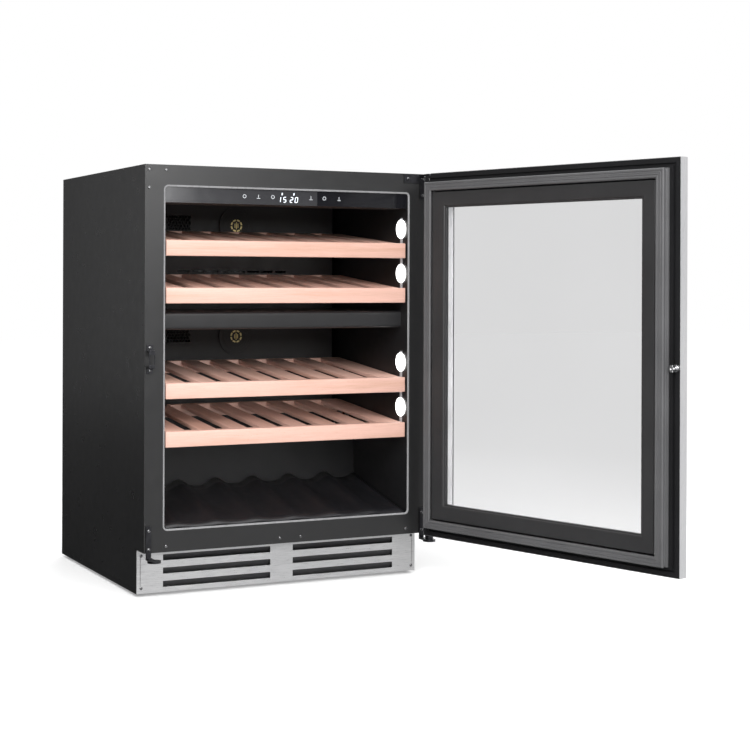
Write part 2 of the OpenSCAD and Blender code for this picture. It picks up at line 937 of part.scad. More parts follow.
// The slotted kick plate, folded back at its top and bottom
module kick_plate() {
  y1 = toe_recess + kick_t;
  top = z_frame - 0.4;
  color("#b9babc")
    difference() {
      union() {
        wide(half_w, toe_recess, y1, z0, top);
        wide(skin_x - flange_w, toe_recess, y1 + kick_flange, top - kick_t, top);
        wide(skin_x - flange_w, toe_recess, y1 + kick_flange, z0, z0 + kick_t);
      }
      both()
        for (k = [0 : 2])
          block([slot_x0, toe_recess - 1, z0 + slot_first + k * slot_pitch],
            [slot_x1, y1 + 1, z0 + slot_first + k * slot_pitch + slot_h]);
      both()
        for (p = kick_screws)
          rod_y(p[0], p[1], screw_r + screw_gap, toe_recess - 1, y1 + 1);
    }
}

// The slanted vanes behind the kick plate's slots
module kick_louvres() {
  y = toe_recess + kick_t;
  drop = slot_h + 3;
  color("#3f3f41")
    both()
      for (k = [0 : 2])
        translate([0, 0, z0 + slot_first + k * slot_pitch + slot_h + 1.5])
          along_x(slot_x0 - 2, slot_x1 + 2)
            polygon([[y, 0], [y, -1], [y + 11, -drop], [y + 12.4, -drop], [y + 1.2, 0]]);
}

// Every screw that shows on the front
module cabinet_screws() {
  color("#6e6f72") {
    for (p = concat(corner_screws, tab_screws))
      screw(p, -bracket_t, 6);
    mirror([1, 0, 0]) {
      for (p = corner_screws)
        screw(p, 0, 4);
      for (p = tab_screws)
        screw(p, -bracket_t, 6);
    }
    both()
      for (p = rail_screws)
        screw(p, 0, 4);
    both()
      for (p = kick_screws)
        screw(p, toe_recess, 5);
    for (z = strike_screws)
      screw([lock_x, z], -strike_t, 4);
  }
}

// ---- Hinges and strike ----

// The bracket that carries the door's upper pin: an angled plate, an arm and the pin
module top_hinge_bracket() {
  z_arm = z_door1 - notch_h + 0.5;
  color("#55565a")
    difference() {
      union() {
        block([half_w - 51, -bracket_t, z_top - 18.5], [half_w - 0.5, 0, z_top - 1]);
        block([half_w - 14.5, -bracket_t, z_top - 50], [half_w - 0.5, 0, z_top - 18]);
        block([pivot_x - arm_r, pivot_y, z_arm], [pivot_x + arm_r, -eps, z_arm + arm_t]);
        translate([pivot_x, pivot_y, z_arm])
          cylinder(r = arm_r, h = arm_t);
        translate([pivot_x, pivot_y, z_arm - bush_len])
          cylinder(r = pin_r, h = bush_len + eps);
      }
      for (p = corner_screws)
        rod_y(p[0], p[1], screw_r + screw_gap, -bracket_t - 1, 1);
    }
}

// A bottom bracket: a strap on the frame and a round-ended tab under the door
module bottom_bracket() {
  z_tab = z_door0 - washer_h - tab_t;
  difference() {
    union() {
      block([pivot_x - 5, -bracket_t, z_tab], [pivot_x + 5, 0, z_frame + 50]);
      block([pivot_x - 5, pivot_y, z_tab], [pivot_x + 5, 0, z_tab + tab_t]);
      translate([pivot_x, pivot_y, z_tab])
        cylinder(r = tab_r, h = tab_t);
    }
    for (p = tab_screws)
      rod_y(p[0], p[1], screw_r + screw_gap, -bracket_t - 1, 1);
  }
}

// The bracket under the hinge with its pin and washer, and the spare one for a door hung on the left
module bottom_hinge_brackets() {
  z_tab = z_door0 - washer_h;
  color("#3a3b3e") {
    bottom_bracket();
    translate([pivot_x, pivot_y, z_tab - eps])
      cylinder(r = arm_r, h = washer_h - 0.3);
    translate([pivot_x, pivot_y, z_tab])
      cylinder(r = pin_r, h = washer_h + bush_len - 1);
    mirror([1, 0, 0])
      difference() {
        bottom_bracket();
        translate([pivot_x, pivot_y, 0])
          cylinder(r = pin_r, h = z_top);
      }
  }
}

// The raised keeper that the lock's cam turns behind
module strike_plate() {
  w = 12;
  foot_h = 12;
  low = lock_z - 26;
  high = lock_z + 28;
  bridge0 = low + foot_h - strike_t;
  bridge1 = high - foot_h + strike_t;
  slot_w = barrel_r + 0.6;
  slot_half = cam_l + 3;
  color("#232325")
    difference() {
      union() {
        for (z = [low, high - foot_h])
          block([lock_x - w / 2, -strike_t, z], [lock_x + w / 2, 0, z + foot_h]);
        for (z = [bridge0, bridge1 - strike_t])
          block([lock_x - w / 2, strike_out - strike_t, z], [lock_x + w / 2, 0, z + strike_t]);
        block([lock_x - w / 2, strike_out - strike_t, bridge0], [lock_x + w / 2, strike_out, bridge1]);
      }
      for (z = strike_screws)
        rod_y(lock_x, z, screw_r + screw_gap, -strike_t - 1, 1);
      block([lock_x - slot_w, strike_out - strike_t - 1, lock_z - slot_half],
        [lock_x + slot_w, strike_out + 1, lock_z + slot_half]);
    }
}

// ---- Machine room ----

// The sealed compressor: a domed shell on a foot plate, with rubber grommets and a relay box
module compressor() {
  z_foot = z0 + panel_t + 1.2 + 12;
  z_shell = z_foot + 2.5;
  body_h = 92;
  dome = 30;
  color("#141415")
    difference() {
      union() {
        translate([compressor_x, room_y, z_shell])
          rotate_extrude()
            union() {
              square([shell_r, body_h]);
              translate([0, body_h])
                square([shell_r - dome, dome]);
              intersection() {
                translate([shell_r - dome, body_h])
                  circle(dome);
                square([shell_r, body_h + dome + 1]);
              }
            }
        translate([compressor_x, room_y, z_shell - 1.25])
          cube([2 * stud_dx + 26, 2 * stud_dy + 26, 2.5], center = true);
      }
      for (p = mount_feet)
        translate([p[0], p[1], z_foot - 1])
          cylinder(r = stud_r + 2.5, h = 5);
    }
  color("#303030")
    for (p = mount_feet)
      translate([p[0], p[1], z_foot - 12 + eps])
        difference() {
          union() {
            cylinder(r = 10, h = 12 - 2 * eps);
            cylinder(r = stud_r + 2.3, h = 17);
          }
          translate([0, 0, -1])
            cylinder(r = stud_r + 0.3, h = 20);
        }
}

// Holes or tubes of radius r along X from x0 to x1, in the condenser's two columns
module condenser_rows(x0, x1, r, z_low) {
  for (i = [0 : condenser_tubes - 1])
    for (k = [-1, 1])
      translate([x0, room_y + k * condenser_column, z_low + 17 + i * condenser_pitch])
        rotate([0, 90, 0])
          cylinder(r = r, h = x1 - x0, $fn = 24);
}

// The finned condenser that the machine fan draws air through
module condenser() {
  x0 = -half_w + 62;
  fins = 14;
  fin_gap = 6.5;
  fin_t = 0.5;
  fin_h = 118;
  fin_d = 104;
  plate_t = 1.2;
  stand = 4;
  z_low = z0 + panel_t + plate_t + stand;
  tube_r = 4;
  stack = fins * fin_gap;
  y0 = room_y - fin_d / 2;
  y1 = room_y + fin_d / 2;
  color("#9a5f3c")
    condenser_rows(x0 - 6, x0 + stack + 6, tube_r, z_low);
  color("#b4b8bc")
    difference() {
      for (i = [0 : fins - 1])
        block([x0 + i * fin_gap, y0, z_low], [x0 + i * fin_gap + fin_t, y1, z_low + fin_h]);
      condenser_rows(x0 - 8, x0 + stack + 8, tube_r + 0.02, z_low);
    }
  color("#8a8d90")
    difference() {
      for (x = [x0 - 2, x0 + stack])
        block([x, y0, z_low - stand], [x + plate_t, y1, z_low + fin_h]);
      condenser_rows(x0 - 8, x0 + stack + 8, tube_r + 0.02, z_low);
    }
}

// A tube through a list of points, round at its bends
module tube(points, r) {
  for (i = [0 : len(points) - 2]) {
    d = points[i + 1] - points[i];
    length = norm(d);
    translate(points[i])
      rotate([0, acos(d[2] / length), atan2(d[1], d[0])])
        cylinder(r = r, h = length, $fn = 20);
  }
  for (i = [1 : len(points) - 2])
    translate(points[i])
      sphere(r = r, $fn = 20);
}

// The suction and discharge lines between the compressor, the condenser and the foamed back
module refrigerant_lines() {
  top = z0 + 118;
  y_up = y_back + 30;
  off_centre = 20;
  y_out = room_y + off_centre;
  x_shell = compressor_x - sqrt(shell_r * shell_r - off_centre * off_centre) - line_r;
  color("#b87345") {
    for (x = line_xs) {
      z = top - (x - line_xs[0]);
      tube([[x_shell, y_out, z], [x, y_out, z], [x, y_up, z], [x, y_up, line_z],
        [x, y_back + panel_t + 0.5, line_z]], line_r);
    }
  }
}

// The defrost water tray above the compressor, hung from the roof by two straps
module drip_tray() {
  half = 70;
  wall = 2;
  tray_h = 24;
  y0 = y_room + 20;
  y1 = y0 + 90;
  z = z_roof - 34;
  color("#e4e4e2")
    difference() {
      block([compressor_x - half, y0, z], [compressor_x + half, y1, z + tray_h]);
      block([compressor_x - half + wall, y0 + wall, z + wall],
        [compressor_x + half - wall, y1 - wall, z + tray_h + 1]);
    }
  color("#8f9396")
    for (x = [compressor_x - half + 10, compressor_x + half - 10])
      block([x - 6, y1 + 0.1, z + 4], [x + 6, y1 + 1.6, z_roof - 0.1]);
}

// The power and control circuit board, hung from the roof on four spacers
module power_board() {
  x = -half_w + 40;
  y = y_room + 60;
  z = z_roof - 30;
  board_w = 130;
  board_d = 90;
  board_t = 1.6;
  edge = 6;
  // Each component's place and size on the board
  components = [[[20, 20], [22, 26, 16]], [[60, 18], [30, 24, 14]], [[100, 50], [16, 22, 18]],
    [[30, 60], [40, 12, 10]]];
  color("#1f5a38")
    block([x, y, z], [x + board_w, y + board_d, z + board_t]);
  color("#cfcfcf")
    for (c = components)
      translate([x + c[0][0], y + c[0][1], z + board_t])
        cube(c[1]);
  color("#8f9396")
    for (dx = [edge, board_w - edge])
      for (dy = [edge, board_d - edge])
        translate([x + dx, y + dy, z + board_t])
          cylinder(r = 3, h = z_roof - z - board_t - 0.1);
}

// The three-pole mains inlet in the rear cover: a flanged socket and its pins
module power_inlet() {
  half_x = 14.2;
  half_z = 10.2;
  wall = 2.2;
  flange = 5.8;
  flange_t = 2.4;
  body_d = 24;
  pin_y = cover_y - 19;
  color("#0f0f10")
    difference() {
      union() {
        block([inlet_x - half_x, cover_y - body_d, inlet_z - half_z],
          [inlet_x + half_x, cover_y, inlet_z + half_z]);
        block([inlet_x - half_x - flange, cover_y, inlet_z - half_z - 2.8],
          [inlet_x + half_x + flange, cover_y + flange_t, inlet_z + half_z + 2.8]);
      }
      block([inlet_x - half_x + wall, pin_y + 1, inlet_z - half_z + wall],
        [inlet_x + half_x - wall, cover_y + flange_t + 1, inlet_z + half_z - wall]);
    }
  color("#c8c8c8")
    for (p = [[-7, 1.5], [0, -3], [7, 1.5]])
      block([inlet_x + p[0] - 2, pin_y, inlet_z + p[1] - 1],
        [inlet_x + p[0] + 2, pin_y + 16, inlet_z + p[1] + 1]);
}

// ---- Door ----

// Turns what is drawn on the closed door about the hinge axis
module opened() {
  translate([pivot_x, pivot_y, 0])
    rotate([0, 0, door_open])
      translate([-pivot_x, -pivot_y, 0])
        children();
}

// A rectangular ring on the door between two distances from its edges
module door_ring(out, in, y0, y1) {
  difference() {
    wide(door_x - out, y0, y1, z_door0 + out, z_door1 - out);
    wide(door_x - in, y0 - 1, y1 + 1, z_door0 + in, z_door1 - in);
  }
}

// What the hinge needs out of the door: the arm's notch and the bushes' seats
module hinge_room() {
  block([pivot_x - arm_r - 1.5, y_tray - 1, z_door1 - notch_h], [half_w + 5, y_inner, z_top]);
  for (z = [z_door0 - 1, z_door1 - notch_h - bush_len])
    translate([pivot_x, pivot_y, z])
      cylinder(r = bush_r, h = bush_len + 1);
}

module lock_hole() {
  rod_y(lock_x, lock_z, case_r + 0.1, y_tray - 1, y_inner + 1);
}

// The steel tray that is the door's face and edges
module door_skin() {
  zc = door_zc;
  color("#c7c8ca")
    opened()
      difference() {
        wide(door_x, y_tray, y_lip, z_door0, z_door1);
        wide(door_x - tray_t, y_core, y_lip + 1, z_door0 + tray_t, z_door1 - tray_t);
        wide(door_x - steel_border, y_tray - 1, y_lip, z_door0 + steel_border, z_door1 - steel_border);
        hinge_room();
        lock_hole();
        for (z = [zc - handle_post, zc + handle_post])
          rod_y(handle_x, z, 2.6, y_tray - 1, y_core + 1);
      }
}

// The moulded frame inside the tray: the rim, the groove, the step and the seat of the seal
module door_core() {
  seat = door_x - pane_x - unit_gap;
  color("#1c1c1e")
    opened()
      difference() {
        union() {
          door_ring(tray_t, seat, y_core, y_lip - groove_d);
          door_ring(tray_t, lip_w, y_core, y_lip);
          door_ring(lip_w + groove_w, seat, y_core, y_lip + 3.5);
          door_ring(plug_inset, seat, y_core, y_inner);
        }
        hinge_room();
        lock_hole();
        for (z = [door_zc - handle_post, door_zc + handle_post])
          rod_y(handle_x, z, 2.6, y_core - 1, y_core + 14);
      }
}

// The magnetic seal: a base, a bellows and a ribbed face
module door_gasket() {
  o = plug_inset + 0.3;
  i = gasket_in;
  color("#2b2b2d")
    opened()
      difference() {
        union() {
          door_ring(o, i, y_inner, y_inner + 5);
          door_ring(o + 2.5, i - 2.5, y_inner, -6);
          door_ring(o + 0.5, i - 0.5, -7, -seal_gap);
        }
        door_ring(o + 5, o + 6.5, -1.5, 0);
        door_ring(i - 6.5, i - 5, -1.5, 0);
      }
}

// The mitred frame that holds the glass unit in the door
module glass_bezel() {
  slot = 0.4;
  color("#262628")
    opened()
      difference() {
        union() {
          door_ring(bezel_out, bezel_in - 1.5, y_inner, y_bezel);
          door_ring(bezel_in - 3, min(glass_inset_x, glass_inset_z), y_inner, y_bezel - 5);
        }
        both()
          for (s = [-1, 1])
            translate([door_x - bezel_out, y_bezel, door_zc + s * (door_h / 2 - bezel_out)])
              rotate([0, s * 45, 0])
                cube([slot, 1, 4 * bezel_w], center = true);
      }
}

// The outer and the inner pane of the sealed glass unit
module glass_panes() {
  color("#b9c4c8")
    opened() {
      wide(pane_x, y_core, y_core + pane_t, door_zc - pane_z, door_zc + pane_z);
      wide(pane_x, y_inner - pane_t, y_inner, door_zc - pane_z, door_zc + pane_z);
    }
}

module glass_spacer() {
  inset = door_x - pane_x;
  color("#46474a")
    opened()
      difference() {
        wide(pane_x, y_core + pane_t, y_inner - pane_t, door_zc - pane_z, door_zc + pane_z);
        wide(pane_x - 9, y_core, y_inner, door_zc - pane_z + 9, door_zc + pane_z - 9);
      }
}

// The bar handle on its two posts
module door_handle() {
  color("#c9cacc")
    opened() {
      translate([handle_x, y_tray - handle_stand, door_zc - handle_len / 2])
        cylinder(r = handle_r, h = handle_len);
      for (z = [door_zc - handle_post, door_zc + handle_post]) {
        rod_y(handle_x, z, 4.5, y_tray - handle_stand, y_tray);
        rod_y(handle_x, z, 2.5, y_tray - 1, y_core + 12);
      }
    }
}

// The plain bushes in the door that turn on the hinge pins
module hinge_bushes() {
  color("#e2e2de")
    opened()
      for (z = [z_door0, z_door1 - notch_h - bush_len])
        translate([pivot_x, pivot_y, z])
          difference() {
            cylinder(r = bush_r, h = bush_len);
            translate([0, 0, -1])
              cylinder(r = pin_r + run_gap, h = bush_len + 2);
          }
}

// The lock's flanged sleeve
module lock_case() {
  color("#b4b5b8")
    opened()
      difference() {
        union() {
          rod_y(lock_x, lock_z, case_r, y_tray, y_lip + 1.5);
          rod_y(lock_x, lock_z, case_r + 1.6, y_tray - 1.5, y_tray);
        }
        rod_y(lock_x, lock_z, barrel_r + run_gap, y_tray - 3, y_lip + 5);
      }
}

// The barrel that the key turns, with its cam
module lock_barrel() {
  color("#d4d5d8")
    opened()
      difference() {
        union() {
          rod_y(lock_x, lock_z, barrel_r, y_tray - 2, y_stud);
          block([lock_x - 2.5, y_stud - cam_t, lock_z - cam_l], [lock_x + 2.5, y_stud, lock_z + cam_l]);
        }
        block([lock_x - 0.6, y_tray - 3, lock_z - 2.6], [lock_x + 0.6, y_tray + 4, lock_z + 2.6]);
        rod_y(lock_x, lock_z, 2, y_stud - 1.5, y_stud + 1);
      }
}

// ---- Shelves ----

// The two runner channels that hold one shelf
module channel_pair(z) {
  both()
    difference() {
      block([in_x - runner_w, runner_y0, z + runner_lift], [in_x, runner_y1, z + runner_lift + runner_h]);
      block([in_x - runner_w - 1, runner_y0 - 1, z + runner_lift + runner_t],
        [in_x - runner_t, runner_y1 - 4, z + runner_lift + runner_h - runner_t]);
    }
}

module runner_channels() {
  color("#9ea1a5")
    for (z = shelf_z)
      channel_pair(z);
}

// A slat's outline in X and Z below its top, with its upper edges chamfered
module slat_outline(w, t) {
  polygon([[-w / 2, -t], [w / 2, -t], [w / 2, -chamfer], [w / 2 - chamfer, 0], [-w / 2 + chamfer, 0],
    [-w / 2, -chamfer]]);
}

// A board that runs from the front rail up to the rear rail, x at its middle
module deck_board(x, w, z) {
  run = deck_run / cos(deck_angle) + 0.02;
  translate([x, rail_y - 0.01, z + rail_h])
    rotate([deck_angle, 0, 0])
      along_y(0, run)
        slat_outline(w, slat_t);
}

// Moves what rides on a shelf's runners out by shelf_out
module pulled() {
  translate([0, -shelf_out, 0])
    children();
}

// One beech shelf: a front rail, a rear rail, two side boards and the slats between them
module shelf(z) {
  c = chamfer;
  y0 = shelf_back;
  y1 = rail_y;
  z1 = z + rail_h;
  back0 = rear_rail_y;
  back1 = rear_rail_y + rear_rail_t;
  high = z + rail_h + deck_rise;
  low = high - rail_h + 4;
  color("#f2c8a6")
    pulled() {
      along_x(-shelf_x, shelf_x)
        polygon([[y0 + c, z], [y1, z], [y1, z1], [y0 + c, z1], [y0, z1 - c], [y0, z + c]]);
      along_x(-shelf_x, shelf_x)
        polygon([[back0, low], [back1, low], [back1, high - c], [back1 - c, high], [back0, high]]);
      both()
        deck_board(shelf_x - side_board_w / 2, side_board_w, z);
      for (i = [1 : slat_count])
        deck_board(-slat_zone - slat_w / 2 + i * slat_pitch, slat_w, z);
    }
}

// Height from a runner bar's underside to just below the boards at y
function lug_h(y) =
  rail_h - runner_lift - runner_t - runner_play - slat_t / cos(deck_angle)
  + (y - rail_y) * tan(deck_angle) - lug_gap;

// The two steel bars under one shelf that slide in the channels, and the lugs that carry the boards
module shelf_runners(z) {
  z_bar = z + runner_lift + runner_t + runner_play;
  lug_t = 2;
  lug_l = 16;
  x0 = in_x - runner_w - 3;
  x1 = in_x - runner_t - runner_play;
  color("#b6b9bd")
    pulled()
      both() {
        block([x0, rail_y + 0.2, z_bar], [x1, rear_rail_y - 6, z_bar + bar_h]);
        for (y = [rear_rail_y - 60, rear_rail_y - 30])
          translate([x0 - lug_t, y, z_bar])
            cube([lug_t, lug_l, lug_h(y + lug_l / 2)]);
      }
}

module shelf_1() {
  shelf(shelf_z[0]);
}

module shelf_2() {
  shelf(shelf_z[1]);
}

module shelf_3() {
  shelf(shelf_z[2]);
}

module shelf_4() {
  shelf(shelf_z[3]);
}

module shelf_1_runners() {
  shelf_runners(shelf_z[0]);
}

module shelf_2_runners() {
  shelf_runners(shelf_z[1]);
}

module shelf_3_runners() {
  shelf_runners(shelf_z[2]);
}

module shelf_4_runners() {
  shelf_runners(shelf_z[3]);
}

// ---- Feet ----

// A levelling foot at x and y: a pad and the spindle that turns in the base pan's nut
module foot(x, y) {
  color("#2d2d2f")
    translate([x, y, 0])
      cylinder(r = foot_r, h = foot_pad);
  color("#a9abae")
    translate([x, y, foot_pad - eps])
      cylinder(r = spindle_r, h = spindle_len);
}

module foot_front_left() {
  foot(-foot_x, foot_ys[0]);
}

module foot_front_right() {
  foot(foot_x, foot_ys[0]);
}

module foot_rear_left() {
  foot(-foot_x, foot_ys[1]);
}

module foot_rear_right() {
  foot(foot_x, foot_ys[1]);
}

side_panel_left();
side_panel_right();
top_panel();
rear_cover();
inner_back_panel();
base_pan();
front_frame();
opening_trim();
insulation();
liner();
zone_divider();
wave_floor();
duct_covers();
evaporators();
fan_frames();
control_housing();
control_glass();
display_symbols();
lamp_strips();
lamp_lenses();
kick_plate();
kick_louvres();
cabinet_screws();
top_hinge_bracket();
bottom_hinge_brackets();
strike_plate();
runner_channels();
compressor();
condenser();
refrigerant_lines();
drip_tray();
power_board();
power_inlet();
door_skin();
door_core();
door_gasket();
glass_bezel();
glass_panes();
glass_spacer();
door_handle();
hinge_bushes();
lock_case();
lock_barrel();
shelf_1();
shelf_2();
shelf_3();
shelf_4();
shelf_1_runners();
shelf_2_runners();
shelf_3_runners();
shelf_4_runners();
fan_rotor_upper();
fan_rotor_lower();
fan_rotor_machine();
filter_upper();
filter_lower();
foot_front_left();
foot_front_right();
foot_rear_left();
foot_rear_right();
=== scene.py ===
"""The wine cooler's looks: finishes, fine pieces, floor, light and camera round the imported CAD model.

Metres, in the CAD model's own frame: +X right, +Y to the back, +Z up, the floor at Z 0.
"""

import json
import math
import random

import bmesh
import bpy
import numpy as np
from mathutils import Matrix, Vector


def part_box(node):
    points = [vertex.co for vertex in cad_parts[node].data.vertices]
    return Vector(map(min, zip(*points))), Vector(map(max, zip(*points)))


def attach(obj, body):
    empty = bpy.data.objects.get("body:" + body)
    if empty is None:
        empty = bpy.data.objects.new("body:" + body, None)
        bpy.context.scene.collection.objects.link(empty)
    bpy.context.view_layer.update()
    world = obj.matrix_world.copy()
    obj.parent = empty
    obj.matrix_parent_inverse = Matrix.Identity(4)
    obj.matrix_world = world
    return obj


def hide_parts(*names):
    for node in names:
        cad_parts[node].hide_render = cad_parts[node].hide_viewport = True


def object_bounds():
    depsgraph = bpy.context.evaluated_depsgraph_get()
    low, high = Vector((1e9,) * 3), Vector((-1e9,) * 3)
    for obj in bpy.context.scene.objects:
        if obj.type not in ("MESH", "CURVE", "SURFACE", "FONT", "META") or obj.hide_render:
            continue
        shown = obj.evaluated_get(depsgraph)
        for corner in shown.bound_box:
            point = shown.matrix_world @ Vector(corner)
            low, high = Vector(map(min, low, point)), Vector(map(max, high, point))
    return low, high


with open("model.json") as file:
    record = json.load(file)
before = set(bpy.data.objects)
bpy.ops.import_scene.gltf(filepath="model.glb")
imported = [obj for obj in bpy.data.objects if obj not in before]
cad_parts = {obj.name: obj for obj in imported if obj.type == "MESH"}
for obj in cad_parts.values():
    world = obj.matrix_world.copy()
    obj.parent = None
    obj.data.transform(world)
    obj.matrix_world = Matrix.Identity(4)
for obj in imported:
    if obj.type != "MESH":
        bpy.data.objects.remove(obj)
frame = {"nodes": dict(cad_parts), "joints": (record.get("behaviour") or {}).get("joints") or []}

cad_low, cad_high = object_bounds()
scene = bpy.context.scene
nodes = frame["nodes"]
joints = {joint["name"]: joint for joint in frame["joints"]}
dice = random.Random(7)
MM = 0.001
WELD_REACH = 0.002 * MM
SHELF_NUMBERS = range(1, 5)

# ---- Places taken from the frame ----

hinge = joints["door_hinge"]
hinge_point = Matrix.Translation(Vector(hinge["pos_m"]))
door_angle = -math.radians(hinge["range_deg"][0])
OPENED = hinge_point @ Matrix.Rotation(door_angle, 4, "Z") @ hinge_point.inverted()


def closed_box(node):
    """A door node's lowest and highest corners as they are when the door is closed."""
    back = OPENED.inverted()
    corners = np.array([back @ v.co for v in nodes[node].data.vertices], float)
    return Vector(corners.min(0)), Vector(corners.max(0))


def welded(node):
    """A copy of a CAD node's mesh, its triangles joined where they meet."""
    bm = bmesh.new()
    bm.from_mesh(nodes[node].data)
    bmesh.ops.remove_doubles(bm, verts=bm.verts, dist=WELD_REACH)
    return bm


def islands(node):
    """The lowest and highest corners of each separate solid in a CAD node, in a fixed order."""
    bm = welded(node)
    left = set(bm.verts)
    boxes = []
    while left:
        found, border = [], [left.pop()]
        while border:
            v = border.pop()
            found.append(v.co[:])
            near = {e.other_vert(v) for e in v.link_edges} & left
            left -= near
            border.extend(near)
        corners = np.array(found, float)
        boxes.append((Vector(corners.min(0)), Vector(corners.max(0))))
    bm.free()
    return sorted(boxes, key=lambda box: [round(c, 4) for c in (box[0] + box[1]) / 2])


# ---- Camera ----

CAMERA_AT = (-1.2644, -2.66158, 0.59041)
CAMERA_YAW = -25.18
CAMERA_ROLL = 0.21
CAMERA_LENS = 73.75
CAMERA_SHIFT = (0.12, -0.1258)
CAMERA_SENSOR = 36
CAMERA_FAR = 50


def make_camera():
    data = bpy.data.cameras.new("camera")
    data.lens = CAMERA_LENS
    data.sensor_width = CAMERA_SENSOR
    data.shift_x, data.shift_y = CAMERA_SHIFT
    data.clip_end = CAMERA_FAR
    camera = bpy.data.objects.new("camera", data)
    turn = Matrix.Rotation(math.radians(CAMERA_YAW), 4, "Z")
    turn @= Matrix.Rotation(math.radians(90), 4, "X")
    turn @= Matrix.Rotation(math.radians(CAMERA_ROLL), 4, "Z")
    camera.matrix_world = Matrix.Translation(CAMERA_AT) @ turn
    scene.collection.objects.link(camera)
    scene.camera = camera


# ---- Shader helpers ----


def add_node(material, kind, **values):
    """Adds a shader node to a material or to the world. A value named as a socket sets that socket;
    any other sets a property."""
    node = material.node_tree.nodes.new("ShaderNode" + kind)
    for name, value in values.items():
        socket = node.inputs.get(name.replace("_", " "))
        if socket is None:
            setattr(node, name, value)
        else:
            socket.default_value = value
    return node


def join(material, source, target):
    material.node_tree.links.new(source, target)


def shader_of(material):
    return material.node_tree.nodes["Principled BSDF"]


def new_finish(name, colour, rough, **sockets):
    """A material whose principled shader has this colour, roughness and other uniform values."""
    material = bpy.data.materials.new(name)
    material.use_nodes = True
    shader = shader_of(material)
    shader.inputs["Base Color"].default_value = (*colour, 1)
    shader.inputs["Roughness"].default_value = rough
    for socket, value in sockets.items():
        shader.inputs[socket.replace("_", " ")].default_value = value
    return material


def coordinates(material, stretch=(1, 1, 1), source="Object"):
    """The object's own coordinates, or a named attribute, scaled along each axis."""
    mapping = add_node(material, "Mapping", Scale=stretch)
    if source == "Object":
        start = add_node(material, "TexCoord").outputs["Object"]
    else:
        start = add_node(material, "Attribute", attribute_name=source).outputs["Vector"]
    join(material, start, mapping.inputs["Vector"])
    return mapping.outputs["Vector"]


def noise(material, scale, detail=3.0, stretch=(1, 1, 1), source="Object"):
    texture = add_node(material, "TexNoise", Scale=scale, Detail=detail)
    join(material, coordinates(material, stretch, source), texture.inputs["Vector"])
    return texture.outputs["Fac"]


def cells(material, scale):
    """The node of a texture of round cells."""
    texture = add_node(material, "TexVoronoi", Scale=scale)
    join(material, coordinates(material), texture.inputs["Vector"])
    return texture


def sideways(material):
    """How far a point is to the right of the object's origin."""
    place = add_node(material, "SeparateXYZ")
    join(material, coordinates(material), place.inputs["Vector"])
    return place.outputs["X"]


def ranged(material, value, low, high, start=0.3, end=0.7):
    """A value between start and end, brought to between low and high."""
    node = add_node(material, "MapRange", From_Min=start, From_Max=end, To_Min=low, To_Max=high)
    join(material, value, node.inputs["Value"])
    return node.outputs["Result"]


def tints(material, value, *stops):
    """Colours along a ramp of (place, colour) stops, picked by a value."""
    node = add_node(material, "ValToRGB")
    ramp = node.color_ramp
    for _ in stops[2:]:
        ramp.elements.new(0.5)
    for element, (place, colour) in zip(ramp.elements, stops):
        element.position = place
        element.color = (*colour, 1)
    join(material, value, node.inputs["Fac"])
    return node.outputs["Color"]


def computed(material, operation, first, second):
    """Two values added, multiplied or otherwise made into one."""
    node = add_node(material, "Math", operation=operation)
    join(material, first, node.inputs[0])
    join(material, second, node.inputs[1])
    return node.outputs[0]


def blended(material, first, second):
    """Two colours multiplied."""
    node = add_node(material, "MixRGB", blend_type="MULTIPLY")
    node.inputs["Fac"].default_value = 1.0
    join(material, first, node.inputs["Color1"])
    join(material, second, node.inputs["Color2"])
    return node.outputs["Color"]


def scaled(colour, share):
    return tuple(min(1.0, c * share) for c in colour)


def toned(material, value, colour, spread):
    """A colour that is darker where a value is low and lighter where it is high, by the same share."""
    return tints(material, value, (0.3, scaled(colour, 1 - spread)), (0.7, scaled(colour, 1 + spread)))


def colour_from(material, output):
    join(material, output, shader_of(material).inputs["Base Color"])


def rough_from(material, output):
    join(material, output, shader_of(material).inputs["Roughness"])


def bump(material, height, strength, depth):
    node = add_node(material, "Bump", Strength=strength, Distance=depth)
    join(material, height, node.inputs["Height"])
    join(material, node.outputs["Normal"], shader_of(material).inputs["Normal"])


# ---- Finishes ----

# A brushed line's width, and how many times longer than wide it is
BRUSH_LINE = 0.35 * MM
BRUSH_LENGTHS = 60
GLASS_TINT = (0.833, 0.833, 0.836)
BEECH_LIGHT = (0.66, 0.415, 0.345)
BEECH_DARK = (0.57, 0.345, 0.265)
DIGIT_GLOW = 1.15
# Where the painted grey reflection on the control glass ends, and how far the lit digits reach from its
# middle
PAINTED_REFLECTION_END = 57 * MM
DIGITS_REACH = 28 * MM


def painted(name, colour, rough):
    """Powder-coated sheet: a faint orange peel and a slow change of tone."""
    material = new_finish(name, colour, rough)
    colour_from(material, toned(material, noise(material, 3.0, 2.0), colour, 0.12))
    rough_from(material, ranged(material, noise(material, 40.0), rough - 0.03, rough + 0.03))
    bump(material, noise(material, 420.0, 2.0), 0.015, 0.1 * MM)
    return material


def moulded(name, colour, rough, pebble=0.5 * MM, **sockets):
    """Injection-moulded plastic or rubber with a fine spark-eroded grain of the given pebble size."""
    material = new_finish(name, colour, rough, **sockets)
    colour_from(material, toned(material, noise(material, 14.0), colour, 0.1))
    rough_from(material, ranged(material, noise(material, 60.0), rough - 0.04, rough + 0.04))
    bump(material, cells(material, 1 / pebble).outputs["Distance"], 0.35, 0.06 * MM)
    return material


